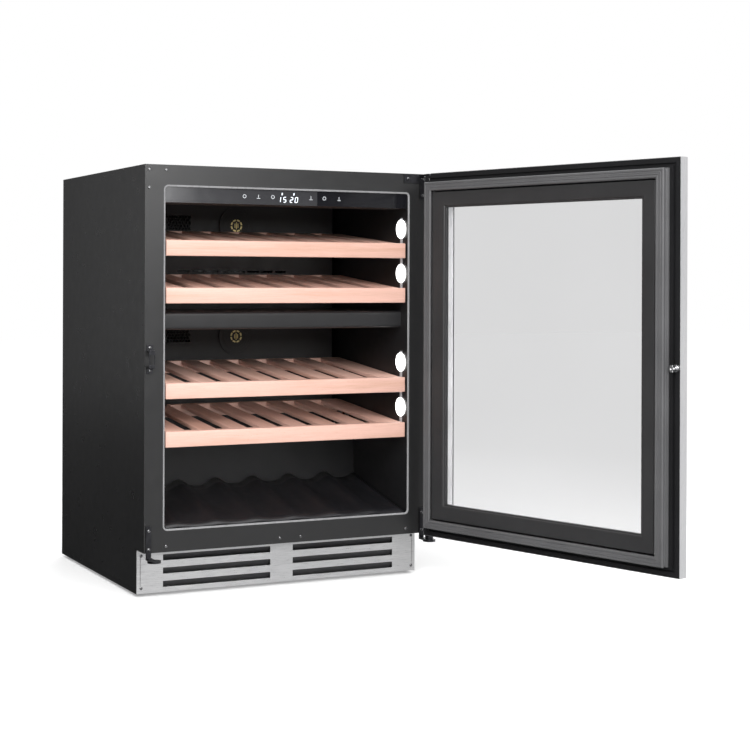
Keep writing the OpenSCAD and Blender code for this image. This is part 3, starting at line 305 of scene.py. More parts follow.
def brushed(name, colour, rough, along="X"):
    """Brushed stainless steel with its lines along one axis."""
    material = new_finish(name, colour, rough, Metallic=1.0)
    fine = 1 / BRUSH_LINE
    slow = fine / BRUSH_LENGTHS
    stretch = [fine, fine, fine]
    stretch["XYZ".index(along)] = slow
    lines = noise(material, 1.0, 2.0, tuple(stretch))
    patches = noise(material, 5.0, 2.0)
    low, high = scaled(colour, 0.86), scaled(colour, 1.08)
    fibres = tints(material, lines, (0.3, low), (0.7, high))
    clouds = tints(material, patches, (0.3, (0.94, 0.94, 0.95)), (0.7, (1, 1, 1)))
    colour_from(material, blended(material, fibres, clouds))
    rough_from(material, ranged(material, lines, rough - 0.07, rough + 0.09))
    bump(material, lines, 0.25, 0.02 * MM)
    return material


def plain_metal(name, colour, rough, spread=0.08):
    """Machined, plated or drawn metal with faint marks."""
    material = new_finish(name, colour, rough, Metallic=1.0)
    marks = noise(material, 180.0, 4.0)
    colour_from(material, toned(material, marks, colour, spread))
    rough_from(material, ranged(material, marks, rough - 0.05, rough + 0.08))
    bump(material, noise(material, 900.0, 2.0), 0.12, 0.02 * MM)
    return material


def galvanised():
    """Zinc-coated sheet with its crystal spangle."""
    material = new_finish("galvanised", (0.55, 0.57, 0.59), 0.4, Metallic=1.0)
    value = add_node(material, "SeparateColor")
    join(material, cells(material, 110.0).outputs["Color"], value.inputs["Color"])
    dark, light = (0.42, 0.44, 0.46), (0.66, 0.68, 0.70)
    colour_from(material, tints(material, value.outputs["Red"], (0, dark), (1, light)))
    rough_from(material, ranged(material, value.outputs["Green"], 0.3, 0.55, 0, 1))
    bump(material, noise(material, 700.0), 0.15, 0.03 * MM)
    return material


def foam():
    """Poured polyurethane with open cells."""
    material = new_finish("foam", (0.74, 0.66, 0.36), 0.9)
    dark, light = (0.62, 0.52, 0.25), (0.80, 0.73, 0.43)
    colour_from(material, tints(material, noise(material, 18.0), (0.3, dark), (0.7, light)))
    bump(material, cells(material, 420.0).outputs["Distance"], 0.8, 0.8 * MM)
    return material


def glowing(name, colour, strength, body=(0.9, 0.92, 0.95)):
    """A lit lens: a frosted body whose light varies a little with the frost."""
    material = new_finish(name, body, 0.35, Emission_Strength=strength)
    shader = shader_of(material)
    frost = noise(material, 260.0)
    lit = tints(material, frost, (0.3, scaled(colour, 0.93)), (0.7, colour))
    join(material, lit, shader.inputs["Emission Color"])
    rough_from(material, ranged(material, frost, 0.28, 0.42))
    return material


def clear_glass():
    """Float glass with a grey tint and hardly any reflection."""
    material = new_finish("clear_glass", GLASS_TINT, 0.0, IOR=1.03, Transmission_Weight=1.0)
    colour_from(material, toned(material, noise(material, 4.0, 1.0), GLASS_TINT, 0.005))
    return material


def beech():
    """Steamed beech under a thin satin lacquer. The grain attribute runs along each board."""
    material = new_finish("beech", BEECH_LIGHT, 0.45, Coat_Weight=0.12, Coat_Roughness=0.3)
    board = add_node(material, "Attribute", attribute_name="board").outputs["Fac"]
    rings = noise(material, 1.0, 3.0, (3, 55, 55), "grain")
    fibres = noise(material, 1.0, 4.0, (26, 900, 900), "grain")
    flecks = noise(material, 1.0, 1.0, (260, 1500, 1500), "grain")
    light = scaled(BEECH_LIGHT, 1.04)
    tone = tints(material, rings, (0.25, BEECH_DARK), (0.5, BEECH_LIGHT), (0.75, light))
    fine = tints(material, fibres, (0.3, (0.90, 0.87, 0.84)), (0.6, (1, 1, 1)))
    spots = tints(material, flecks, (0.66, (1, 1, 1)), (0.76, (0.80, 0.72, 0.66)))
    each = tints(material, board, (0, (0.93, 0.91, 0.89)), (1, (1, 1, 1)))
    grain = blended(material, tone, fine)
    colour_from(material, blended(material, grain, blended(material, spots, each)))
    rough_from(material, ranged(material, fibres, 0.38, 0.52))
    bump(material, fibres, 0.22, 0.05 * MM)
    return material


def circuit_board():
    """Green solder mask with a faint pattern of tracks under it."""
    material = new_finish("board_green", (0.02, 0.16, 0.07), 0.35, Coat_Weight=0.4)
    tracks = add_node(material, "TexBrick", Scale=90.0)
    tracks.inputs["Color1"].default_value = (0.015, 0.13, 0.05, 1)
    tracks.inputs["Color2"].default_value = (0.02, 0.17, 0.07, 1)
    tracks.inputs["Mortar"].default_value = (0.05, 0.27, 0.13, 1)
    join(material, coordinates(material), tracks.inputs["Vector"])
    colour_from(material, tracks.outputs["Color"])
    bump(material, tracks.outputs["Fac"], 0.2, 0.05 * MM)
    return material


def dark_glass():
    """The control panel's glossy glass: black right of the display, with a painted grey reflection
    coloured in left of it.
    """
    material = new_finish("control_black", (0.012, 0.012, 0.014), 0.14, Specular_IOR_Level=0.45)
    # Painted reflection: left of this edge the glass is coloured lighter grey, right of it black.
    right = ranged(material, sideways(material), 0, 1, PAINTED_REFLECTION_END, PAINTED_REFLECTION_END + 1 * MM)
    tone = tints(material, right, (0, (0.036, 0.036, 0.039)), (1, (0.008, 0.008, 0.010)))
    cloud = tints(material, noise(material, 6.0), (0.3, (0.9, 0.9, 0.9)), (0.7, (1, 1, 1)))
    colour_from(material, blended(material, tone, cloud))
    rough_from(material, ranged(material, noise(material, 50.0), 0.10, 0.16))
    return material


def display_light():
    """Symbols on the control glass: the lit digits are bright, the touch marks beside them are dim."""
    material = new_finish("display_white", (0.55, 0.57, 0.6), 0.4, Emission_Strength=DIGIT_GLOW)
    low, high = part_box("display_symbols")
    off_centre = add_node(material, "Math", operation="ABSOLUTE")
    join(material, sideways(material), off_centre.inputs[0])
    dim, lit = (0.05, 0.05, 0.052), (0.80, 0.88, 1.0)
    width = high.x - low.x
    share = ranged(material, off_centre.outputs[0], 0, 1, 0, width)
    flicker = ranged(material, noise(material, 500.0), 0.85, 1.0)
    ramp = add_node(material, "ValToRGB")
    ramp.color_ramp.interpolation = "CONSTANT"
    ramp.color_ramp.elements[0].color = (*lit, 1)
    ramp.color_ramp.elements[1].position = DIGITS_REACH / width
    ramp.color_ramp.elements[1].color = (*dim, 1)
    join(material, share, ramp.inputs["Fac"])
    glow = blended(material, ramp.outputs["Color"], flicker)
    join(material, glow, shader_of(material).inputs["Emission Color"])
    return material


finishes = {
    "black_steel": painted("black_steel", (0.012, 0.012, 0.0125), 0.30),
    "frame_grey": painted("frame_grey", (0.016, 0.016, 0.0165), 0.32),
    "galvanised": galvanised(),
    "trim_grey": moulded("trim_grey", (0.22, 0.22, 0.225), 0.28),
    "foam": foam(),
    "liner_black": moulded("liner_black", (0.012, 0.012, 0.013), 0.38),
    "duct_black": moulded("duct_black", (0.016, 0.015, 0.015), 0.48),
    "floor_black": moulded("floor_black", (0.012, 0.012, 0.014), 0.32),
    "fin_aluminium": plain_metal("fin_aluminium", (0.78, 0.79, 0.80), 0.35),
    "fan_black": moulded("fan_black", (0.014, 0.014, 0.014), 0.45),
    "rotor_grey": moulded("rotor_grey", (0.05, 0.05, 0.052), 0.42),
    "control_black": dark_glass(),
    "display_white": display_light(),
    "lamp_white": glowing("lamp_white", (1.0, 0.99, 0.97), 4.0),
    "lamp_bar": glowing("lamp_bar", (0.9, 0.95, 1.0), 0.12, (0.35, 0.35, 0.36)),
    "brushed_kick": brushed("brushed_kick", (0.84, 0.84, 0.845), 0.34),
    "louvre_grey": moulded("louvre_grey", (0.045, 0.045, 0.047), 0.5),
    "screw_steel": plain_metal("screw_steel", (0.20, 0.20, 0.205), 0.24),
    "bracket_steel": plain_metal("bracket_steel", (0.055, 0.055, 0.06), 0.34),
    "strike_black": plain_metal("strike_black", (0.05, 0.05, 0.055), 0.32),
    "runner_steel": plain_metal("runner_steel", (0.50, 0.51, 0.52), 0.30),
    "compressor_black": painted("compressor_black", (0.012, 0.012, 0.012), 0.28),
    "copper": plain_metal("copper", (0.72, 0.36, 0.20), 0.28, spread=0.2),
    "tray_white": moulded("tray_white", (0.72, 0.72, 0.70), 0.45),
    "board_green": circuit_board(),
    "inlet_black": moulded("inlet_black", (0.014, 0.014, 0.015), 0.4),
    "door_steel": brushed("door_steel", (0.66, 0.66, 0.67), 0.33, along="Z"),
    "door_black": moulded("door_black", (0.010, 0.010, 0.011), 0.5, Specular_IOR_Level=0.3),
    "gasket_rubber": moulded("gasket_rubber", (0.082, 0.082, 0.085), 0.5, pebble=0.3 * MM),
    "bezel_black": moulded("bezel_black", (0.024, 0.024, 0.025), 0.46),
    "clear_glass": clear_glass(),
    "spacer_grey": moulded("spacer_grey", (0.80, 0.80, 0.81), 0.5),
    "handle_steel": brushed("handle_steel", (0.66, 0.66, 0.67), 0.28, along="Z"),
    "bush_white": moulded("bush_white", (0.75, 0.75, 0.72), 0.4),
    "lock_chrome": plain_metal("lock_chrome", (0.80, 0.80, 0.82), 0.14),
    "beech": beech(),
    "filter_black": moulded("filter_black", (0.014, 0.013, 0.013), 0.5),
    "filter_gold": plain_metal("filter_gold", (0.78, 0.64, 0.30), 0.32, spread=0.15),
    "foot_black": moulded("foot_black", (0.02, 0.02, 0.02), 0.55),
}

SLOT_OF = {
    "side_panel_left": "black_steel", "side_panel_right": "black_steel", "top_panel": "black_steel",
    "rear_cover": "black_steel", "inner_back_panel": "galvanised", "base_pan": "galvanised",
    "front_frame": "frame_grey", "opening_trim": "trim_grey", "insulation": "foam",
    "liner": "liner_black", "zone_divider": "liner_black", "wave_floor": "floor_black",
    "duct_covers": "duct_black", "evaporators": "fin_aluminium", "fan_frames": "fan_black",
    "control_housing": "duct_black", "control_glass": "control_black",
    "display_symbols": "display_white", "lamp_strips": "lamp_bar", "lamp_lenses": "lamp_white",
    "kick_plate": "brushed_kick", "kick_louvres": "louvre_grey", "cabinet_screws": "screw_steel",
    "top_hinge_bracket": "bracket_steel", "bottom_hinge_brackets": "bracket_steel",
    "strike_plate": "strike_black", "runner_channels": "runner_steel",
    "compressor": "compressor_black", "condenser": "fin_aluminium", "refrigerant_lines": "copper",
    "drip_tray": "tray_white", "power_board": "board_green", "power_inlet": "inlet_black",
    "door_skin": "door_steel", "door_core": "door_black", "door_gasket": "gasket_rubber",
    "glass_bezel": "bezel_black", "glass_panes": "clear_glass", "glass_spacer": "spacer_grey",
    "door_handle": "handle_steel", "hinge_bushes": "bush_white", "lock_case": "lock_chrome",
    "lock_barrel": "lock_chrome",
    **{f"shelf_{n}": "beech" for n in SHELF_NUMBERS},
    **{f"shelf_{n}_runners": "runner_steel" for n in SHELF_NUMBERS},
    **{f"fan_rotor_{place}": "rotor_grey" for place in ("upper", "lower", "machine")},
    "filter_upper": "filter_black", "filter_lower": "filter_black",
    **{f"foot_{y}_{x}": "foot_black" for y in ("front", "rear") for x in ("left", "right")},
}

# How far each CAD node's sharp edges are rounded
SHEET_EDGE = 0.3 * MM
ROUNDED = {
    "side_panel_left": SHEET_EDGE, "side_panel_right": SHEET_EDGE, "top_panel": SHEET_EDGE,
    "rear_cover": SHEET_EDGE, "kick_plate": 0.5 * MM,
    "kick_louvres": SHEET_EDGE, "zone_divider": 0.8 * MM, "control_glass": 0.5 * MM,
    "strike_plate": 0.4 * MM, "top_hinge_bracket": 0.5 * MM, "bottom_hinge_brackets": 0.6 * MM,
    "door_skin": SHEET_EDGE, "door_core": 0.8 * MM, "power_inlet": 0.6 * MM,
    "base_pan": SHEET_EDGE, "lock_barrel": 0.3 * MM, "lock_case": 0.4 * MM,
    "filter_upper": 0.3 * MM, "filter_lower": 0.3 * MM, "duct_covers": 0.3 * MM,
    "control_housing": 0.5 * MM, "drip_tray": 0.5 * MM,
}


def dress(node, slot):
    """Gives a CAD node a slot's finish."""
    mesh = nodes[node].data
    mesh.materials.clear()
    mesh.materials.append(finishes[slot])


def soften(node, width):
    """Rounds a CAD node's sharp edges: its triangles are welded and its sharp edges bevelled."""
    obj = nodes[node]
    weld = obj.modifiers.new("weld", "WELD")
    weld.merge_threshold = WELD_REACH
    bevel = obj.modifiers.new("bevel", "BEVEL")
    bevel.width = width
    bevel.segments = 2
    bevel.limit_method = "ANGLE"
    bevel.angle_limit = math.radians(35)
    bevel.miter_outer = "MITER_ARC"
    bevel.harden_normals = True
    mesh = obj.data
    if "custom_normal" in mesh.attributes:
        mesh.attributes.remove(mesh.attributes["custom_normal"])
    mesh.shade_smooth()


# ---- Mesh helpers ----

# How many straight pieces stand for a rounded corner
CORNER_STEPS = 4


def new_piece(name, bm, slot, body, replaced=(), sharp=35, finish=None):
    """Makes a piece from a bmesh, smooth but for its sharp edges. It rides on a body and takes a
    slot's finish, or another finish if one is named."""
    mesh = bpy.data.meshes.new(name)
    bmesh.ops.recalc_face_normals(bm, faces=bm.faces)
    bm.to_mesh(mesh)
    bm.free()
    mesh.materials.append(finishes[finish or slot])
    mesh.shade_smooth()
    mesh.set_sharp_from_angle(angle=math.radians(sharp))
    obj = bpy.data.objects.new(name, mesh)
    scene.collection.objects.link(obj)
    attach(obj, body)
    if replaced:
        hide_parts(*replaced)


def merge(bm, part, place=Matrix.Identity(4)):
    """Moves one bmesh by a matrix and adds it to another."""
    mesh = bpy.data.meshes.new("part")
    part.to_mesh(mesh)
    part.free()
    mesh.transform(place)
    bm.from_mesh(mesh)
    bpy.data.meshes.remove(mesh)


def lathe(profile, steps=32):
    """A solid turned about Z from (radius, height) points; a radius of 0 closes an end."""
    bm = bmesh.new()
    rings = []
    for radius, height in profile:
        if radius == 0:
            rings.append([bm.verts.new((0, 0, height))])
            continue
        angles = [math.tau * i / steps for i in range(steps)]
        rings.append([bm.verts.new((radius * math.cos(a), radius * math.sin(a), height)) for a in angles])
    for low, high in zip(rings, rings[1:]):
        for i in range(steps):
            k = (i + 1) % steps
            corners = [low[i % len(low)], low[k % len(low)], high[k % len(high)], high[i % len(high)]]
            bm.faces.new(list(dict.fromkeys(corners)))
    return bm


def bridge(bm, loops):
    """Adds faces from each closed loop of points to the next, and from the last to the first."""
    for here, there in zip(loops, loops[1:] + loops[:1]):
        for i in range(len(here)):
            k = (i + 1) % len(here)
            bm.faces.new((here[i], here[k], there[k], there[i]))


def arc(centre, radius, start, end, steps):
    """Points on an arc in a plane, angles in degrees. A pair of radii makes it elliptical."""
    across, up = radius if isinstance(radius, tuple) else (radius, radius)
    angles = [math.radians(start + (end - start) * i / steps) for i in range(steps + 1)]
    return [(centre[0] + across * math.cos(a), centre[1] + up * math.sin(a)) for a in angles]


def rounded(points, radius):
    """A closed outline with each of its corners rounded."""
    out = []
    count = len(points)
    for i, corner in enumerate(points):
        here = Vector(corner)
        back = Vector(points[i - 1]) - here
        on = Vector(points[(i + 1) % count]) - here
        reach = min(radius, back.length * 0.45, on.length * 0.45)
        start, end = here + back.normalized() * reach, here + on.normalized() * reach
        for step in range(CORNER_STEPS + 1):
            t = step / CORNER_STEPS
            out.append((start * (1 - t) ** 2 + here * 2 * t * (1 - t) + end * t ** 2)[:])
    return out


def cut(bm, cutter):
    """One bmesh less another."""
    objects = []
    for name, source in (("solid", bm), ("cutter", cutter)):
        mesh = bpy.data.meshes.new(name)
        bmesh.ops.recalc_face_normals(source, faces=source.faces)
        source.to_mesh(mesh)
        source.free()
        obj = bpy.data.objects.new(name, mesh)
        scene.collection.objects.link(obj)
        objects.append(obj)
    solid, tool = objects
    less = solid.modifiers.new("less", "BOOLEAN")
    less.object = tool
    less.solver = "EXACT"
    less.use_self = True
    bpy.context.view_layer.update()
    made = solid.evaluated_get(bpy.context.evaluated_depsgraph_get()).to_mesh()
    out = bmesh.new()
    out.from_mesh(made)
    for obj in objects:
        bpy.data.objects.remove(obj)
    return out


# ---- Shelves ----

RAIL_T = 25 * MM
REAR_RAIL_T = 20 * MM
REAR_RAIL_LESS = 4 * MM
DECK_RISE = 26 * MM
SIDE_BOARD_W = 48 * MM
SLAT_W = 36 * MM
SLAT_T = 8 * MM
SLATS = 6
EDGE_R = 1.6 * MM


def board(bm, size, place):
    """Adds a board of (length, width, thickness), its length along its own X, with rounded edges."""
    part = bmesh.new()
    bmesh.ops.create_cube(part, size=1, matrix=Matrix.Diagonal((*size, 1)))
    bmesh.ops.bevel(part, geom=part.edges[:], offset=EDGE_R, segments=3, profile=0.5, affect="EDGES")
    grain = part.verts.layers.float_vector.new("grain")
    shade = part.verts.layers.float.new("board")
    start = Vector([dice.uniform(-9, 9) for _ in range(3)])
    tone = dice.random()
    for v in part.verts:
        v[grain] = v.co + start
        v[shade] = tone
    merge(bm, part, place)


def shelf(number):
    """A beech shelf: rails at its front and back, side boards and slats that rise to the back."""
    node = f"shelf_{number}"
    low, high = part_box(node)
    width = high.x - low.x
    rail_h = high.z - low.z - DECK_RISE
    bm = bmesh.new()
    bm.verts.layers.float_vector.new("grain")
    bm.verts.layers.float.new("board")
    flat = Matrix.Rotation(math.radians(90), 4, "X")
    front = Matrix.Translation(((low.x + high.x) / 2, low.y + RAIL_T / 2, low.z + rail_h / 2))
    board(bm, (width, rail_h, RAIL_T), front @ flat)
    rear_h = rail_h - REAR_RAIL_LESS
    rear = Matrix.Translation(((low.x + high.x) / 2, high.y - REAR_RAIL_T / 2, high.z - rear_h / 2))
    board(bm, (width, rear_h, REAR_RAIL_T), rear @ flat)
    start = Vector((0, low.y + RAIL_T, low.z + rail_h))
    run = high.y - REAR_RAIL_T - start.y
    slope = math.atan2(DECK_RISE, run)
    length = run / math.cos(slope)
    along = Matrix.Rotation(slope, 4, "X") @ Matrix.Rotation(math.radians(90), 4, "Z")
    inner = width / 2 - SIDE_BOARD_W
    pitch = (2 * inner + SLAT_W) / (SLATS + 1)
    slats = [(-inner - SLAT_W / 2 + i * pitch, SLAT_W) for i in range(1, SLATS + 1)]
    sides = [(side * (width - SIDE_BOARD_W) / 2, SIDE_BOARD_W) for side in (-1, 1)]
    for x, across in slats + sides:
        place = Matrix.Translation(start + Vector((x, 0, 0))) @ along
        middle = Matrix.Translation((length / 2, 0, -SLAT_T / 2))
        board(bm, (length, across, SLAT_T), place @ middle)
    new_piece(f"{node}_boards", bm, "beech", f"{node}_slide", [node])


# ---- Screws ----

SCREW_HEAD_H = 1.5 * MM
SHANK_R = 2 * MM
# The head's straight rim as a share of its height, and its underside as a share of its radius
HEAD_RIM = 0.35
HEAD_FOOT = 0.97
# The cross recess: its arms' reach and width as shares of the head's radius, and the middle of its
# height as a share of the head's
CROSS_REACH = 1.15
CROSS_WIDTH = 0.28
CROSS_MIDDLE = 1.05


def screw_head(radius, height):
    """A domed pan head with a cross recess, its underside at Z 0."""
    dome = arc((0, HEAD_RIM * height), (radius, (1 - HEAD_RIM) * height), 0, 90, 7)[:-1]
    bm = lathe([(0, 0), (HEAD_FOOT * radius, 0), *dome, (0, height)], 28)
    cutter = bmesh.new()
    for turn in (0, 90):
        part = bmesh.new()
        size = Matrix.Diagonal((CROSS_REACH * radius, CROSS_WIDTH * radius, height, 1))
        bmesh.ops.create_cube(part, size=1, matrix=size)
        raised = Matrix.Translation((0, 0, CROSS_MIDDLE * height))
        merge(cutter, part, raised @ Matrix.Rotation(math.radians(turn), 4, "Z"))
    return cut(bm, cutter)


def cabinet_screws():
    """Pan-head screws where the CAD model has them, each turned by its own amount."""
    screws = islands("cabinet_screws")
    first_low, first_high = screws[0]
    made = screw_head((first_high.x - first_low.x) / 2, SCREW_HEAD_H)
    head = bpy.data.meshes.new("head")
    made.to_mesh(head)
    made.free()
    bm = bmesh.new()
    facing = Matrix.Rotation(math.radians(90), 4, "X")
    for low, high in screws:
        part = bmesh.new()
        part.from_mesh(head)
        tip = SCREW_HEAD_H - (high.y - low.y)
        merge(part, lathe([(0, tip), (SHANK_R, tip), (SHANK_R, 0), (0, 0)], 16))
        seat = Vector(((low.x + high.x) / 2, low.y + SCREW_HEAD_H, (low.z + high.z) / 2))
        turn = Matrix.Rotation(dice.uniform(0, math.pi), 4, "Z")
        merge(bm, part, Matrix.Translation(seat) @ facing @ turn)
    new_piece("cabinet_screw_heads", bm, "screw_steel", "cabinet", ["cabinet_screws"])


# ---- Door ----

GASKET_W = 17.7 * MM
GASKET_SOFT = 0.7 * MM
BEZEL_W = 28 * MM
BEZEL_LIP = 2.6 * MM
BEZEL_SOFT = 1.1 * MM
HANDLE_R = 6 * MM
HANDLE_SOFT = 1.5 * MM
POST_R = 4.5 * MM
POST_FLARE = 2 * MM
POST_INSET = 35 * MM


def door_ring(name, outline, slot, node):
    """A mitred ring on the door: a closed outline of (inset, y) swept round the door's edges."""
    low, high = closed_box("door_skin")
    bm = bmesh.new()
    loops = []
    for inset, y in outline:
        x0, x1, z0, z1 = low.x + inset, high.x - inset, low.z + inset, high.z - inset
        corners = ((x0, y, z0), (x1, y, z0), (x1, y, z1), (x0, y, z1))
        loops.append([bm.verts.new(corner) for corner in corners])
    bridge(bm, loops)
    bmesh.ops.transform(bm, matrix=OPENED, verts=bm.verts)
    new_piece(name, bm, slot, "door", [node], sharp=50)


def door_gasket():
    """The magnetic seal: a clipped base, a soft bellows and a head with two grooves."""
    door_low, _ = closed_box("door_skin")
    low, high = closed_box("door_gasket")
    out, width = low.x - door_low.x, GASKET_W
    base, face = low.y, high.y
    flange, neck, shoulder = base + 5 * MM, face - 6.7 * MM, face - 5.7 * MM
    left = [(0, base), (0, flange), (2.5 * MM, flange + 1 * MM), (3.5 * MM, (flange + neck) / 2),
            (2.2 * MM, neck), (0.5 * MM, shoulder), (0.2 * MM, face - 2 * MM), (1.8 * MM, face)]
    groove = [(4.8 * MM, face), (5.6 * MM, face - 1.3 * MM), (6.4 * MM, face)]
    hollow = [(width / 2, face - 0.5 * MM)]
    right = [(width - x, y) for x, y in reversed(left + groove)]
    outline = rounded(left + groove + hollow + right, GASKET_SOFT)
    door_ring("door_seal", [(out + x, y) for x, y in outline], "gasket_rubber", "door_gasket")


def glass_bezel():
    """The mitred glass frame: its face slopes inward and falls to a thin lip on the glass."""
    door_low, _ = closed_box("door_skin")
    low, high = closed_box("glass_bezel")
    out = low.x - door_low.x
    base, face = low.y, high.y
    width, lip = BEZEL_W, BEZEL_W + BEZEL_LIP
    outline = [(0, base), (0, face - 1 * MM), (1 * MM, face), (width - 3 * MM, face - 3.4 * MM),
               (width - 1 * MM, face - 4.4 * MM), (width, face - 6.0 * MM), (lip, face - 6.5 * MM),
               (lip, base)]
    outline = rounded(outline, BEZEL_SOFT)
    door_ring("glass_frame", [(out + x, y) for x, y in outline], "bezel_black", "glass_bezel")


def door_handle():
    """A round bar with softened ends on two flared posts."""
    low, high = closed_box("door_handle")
    skin_low, _ = closed_box("door_skin")
    radius = HANDLE_R
    x, y = low.x + radius, low.y + radius
    length = high.z - low.z
    ends = arc((radius - HANDLE_SOFT, HANDLE_SOFT), HANDLE_SOFT, -90, 0, 5)
    top = [(r, length - h) for r, h in reversed(ends)]
    bm = lathe([(0, 0), *ends, *top, (0, length)], 48)
    bmesh.ops.translate(bm, verts=bm.verts, vec=(x, y, low.z))
    reach = skin_low.y - y
    foot = POST_R + POST_FLARE
    flare = arc((foot, reach - POST_FLARE), POST_FLARE, 180, 90, 5)
    profile = [(0, 0), (POST_R, 0), *flare, (foot, reach), (0, reach)]
    for z in (low.z + POST_INSET, high.z - POST_INSET):
        place = Matrix.Translation((x, y, z)) @ Matrix.Rotation(math.radians(-90), 4, "X")
        merge(bm, lathe(profile, 32), place)
    bmesh.ops.transform(bm, matrix=OPENED, verts=bm.verts)
    new_piece("door_handle_bar", bm, "handle_steel", "door", ["door_handle"])


# ---- Interior ----

OPENING_R = 9 * MM
BEAD_W = 3.5 * MM
LENS_EDGE = 1.2 * MM
LENS_RIM = 0.8 * MM
# The lens's thickness halfway out from its middle, as a share of the whole
LENS_DIP = 0.99
EMBLEM_PARTS = 8
EMBLEM_FILLED = 0.72
EMBLEM_STEPS = 6
EMBLEM_R = 13 * MM
EMBLEM_W = 3.1 * MM
EMBLEM_T = 0.6 * MM
GRIP_W = 1.7 * MM
GRIP_EDGE = 0.25 * MM
# The emblem's three bars: where each one is, and half its length
GRIPS = ((-3.4 * MM, 4.5 * MM), (0, 7.5 * MM), (3.4 * MM, 4.5 * MM))


def opening_bead():
    """The rounded bead between the frame and the liner, round the whole opening."""
    low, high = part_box("opening_trim")
    middle = (low + high) / 2
    half_x, half_z = (high.x - low.x) / 2 - OPENING_R, (high.z - low.z) / 2 - OPENING_R
    corners = ((1, 1), (-1, 1), (-1, -1), (1, -1))
    profile = arc((0, high.y), (BEAD_W, low.y - high.y), 90, 0, 8) + [(0, high.y)]
    bm = bmesh.new()
    rings = []
    for inset, y in profile:
        ring = []
        for turn, (right, up) in enumerate(corners):
            quarter = arc((0, 0), OPENING_R - inset, 0, 90, 8)
            if turn in (1, 3):
                quarter.reverse()
            for x, z in quarter:
                at = (right * (half_x + x), y, middle.z + up * (half_z + z))
                ring.append(bm.verts.new(at))
        rings.append(ring)
    bridge(bm, rings)
    bmesh.ops.remove_doubles(bm, verts=bm.verts, dist=WELD_REACH)
    new_piece("opening_bead", bm, "trim_grey", "cabinet", ["opening_trim"], sharp=60)


def lamps():
    """Lenses with rounded edges, where the CAD model has its lenses."""
    bm = bmesh.new()
    for low, high in islands("lamp_lenses"):
        radius, depth = (high.z - low.z) / 2, high.x - low.x
        side = math.copysign(1, (low.x + high.x) / 2)
        dome = arc((radius - LENS_EDGE, LENS_RIM), (LENS_EDGE, depth - LENS_RIM), 0, 90, 6)
        part = lathe([(0, 0), (radius, 0), *dome, (radius / 2, depth * LENS_DIP), (0, depth)], 56)
        wall = high.x if side > 0 else low.x
        place = Matrix.Translation((wall, (low.y + high.y) / 2, (low.z + high.z) / 2))
        merge(bm, part, place @ Matrix.Rotation(math.radians(-90 * side), 4, "Y"))
    new_piece("lamp_domes", bm, "lamp_white", "cabinet", ["lamp_lenses"])


def filter_emblem(place):
    """A gold-coloured ring in parts round three bars, on the filter's face."""
    low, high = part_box(f"filter_{place}")
    centre = (low + high) / 2
    bm = bmesh.new()
    span = math.tau / EMBLEM_PARTS * EMBLEM_FILLED
    for n in range(EMBLEM_PARTS):
        part = bmesh.new()
        middle = math.tau * (n + 0.5) / EMBLEM_PARTS
        outline = []
        for radius, sweep in ((EMBLEM_R, 1), (EMBLEM_R - EMBLEM_W, -1)):
            for i in range(EMBLEM_STEPS + 1):
                a = middle + sweep * span * (i / EMBLEM_STEPS - 0.5)
                outline.append((radius * math.cos(a), radius * math.sin(a)))
        face = part.faces.new([part.verts.new((x, y, 0)) for x, y in outline])
        raised = bmesh.ops.extrude_face_region(part, geom=[face])
        tops = [v for v in raised["geom"] if isinstance(v, bmesh.types.BMVert)]
        bmesh.ops.translate(part, verts=tops, vec=(0, 0, EMBLEM_T))
        merge(bm, part)
    for x, half in GRIPS:
        bar = bmesh.new()
        bmesh.ops.create_cube(bar, size=1, matrix=Matrix.Diagonal((GRIP_W, 2 * half, EMBLEM_T, 1)))
        bmesh.ops.bevel(bar, geom=bar.edges[:], offset=GRIP_EDGE, segments=2, affect="EDGES")
        merge(bm, bar, Matrix.Translation((x, 0, EMBLEM_T / 2)))
    on_face = Matrix.Translation((centre.x, low.y, centre.z))
    facing = Matrix.Rotation(math.radians(90), 4, "X")
    bmesh.ops.transform(bm, matrix=on_face @ facing, verts=bm.verts)
    new_piece(f"filter_{place}_emblem", bm, "filter_black", f"filter_{place}", finish="filter_gold")


def wave_floor():
    """The moulded floor tray, smooth over its waves."""
    new_piece("wave_floor_tray", welded("wave_floor"), "floor_black", "cabinet", ["wave_floor"], sharp=50)


# ---- Display ----

# The lit segments of each digit, from a at the top clockwise to f, with g in the middle
SEGMENTS = {"0": "abcdef", "1": "bc", "2": "abged", "5": "afgcd"}
DIGIT_PLACES = (("1", -24.0 * MM), ("5", -12.5 * MM), ("2", 1.8 * MM), ("0", 12.2 * MM))
DIGIT_W = 6.6 * MM
DIGIT_H = 11 * MM
DIGIT_STROKE = 1.3 * MM
# The gap between one upright segment and the next, as a share of the stroke: a flat segment has half
# of it at each end
SEGMENT_GAP = 0.2
DIGIT_RISE = 5 * MM
DIGIT_SLANT = math.tan(math.radians(7))
MARK_PLACES = (-17.3 * MM, 7.5 * MM)
MARK_W = 2.2 * MM
MARK_H = 4.6 * MM
MARK_GAP = 3 * MM


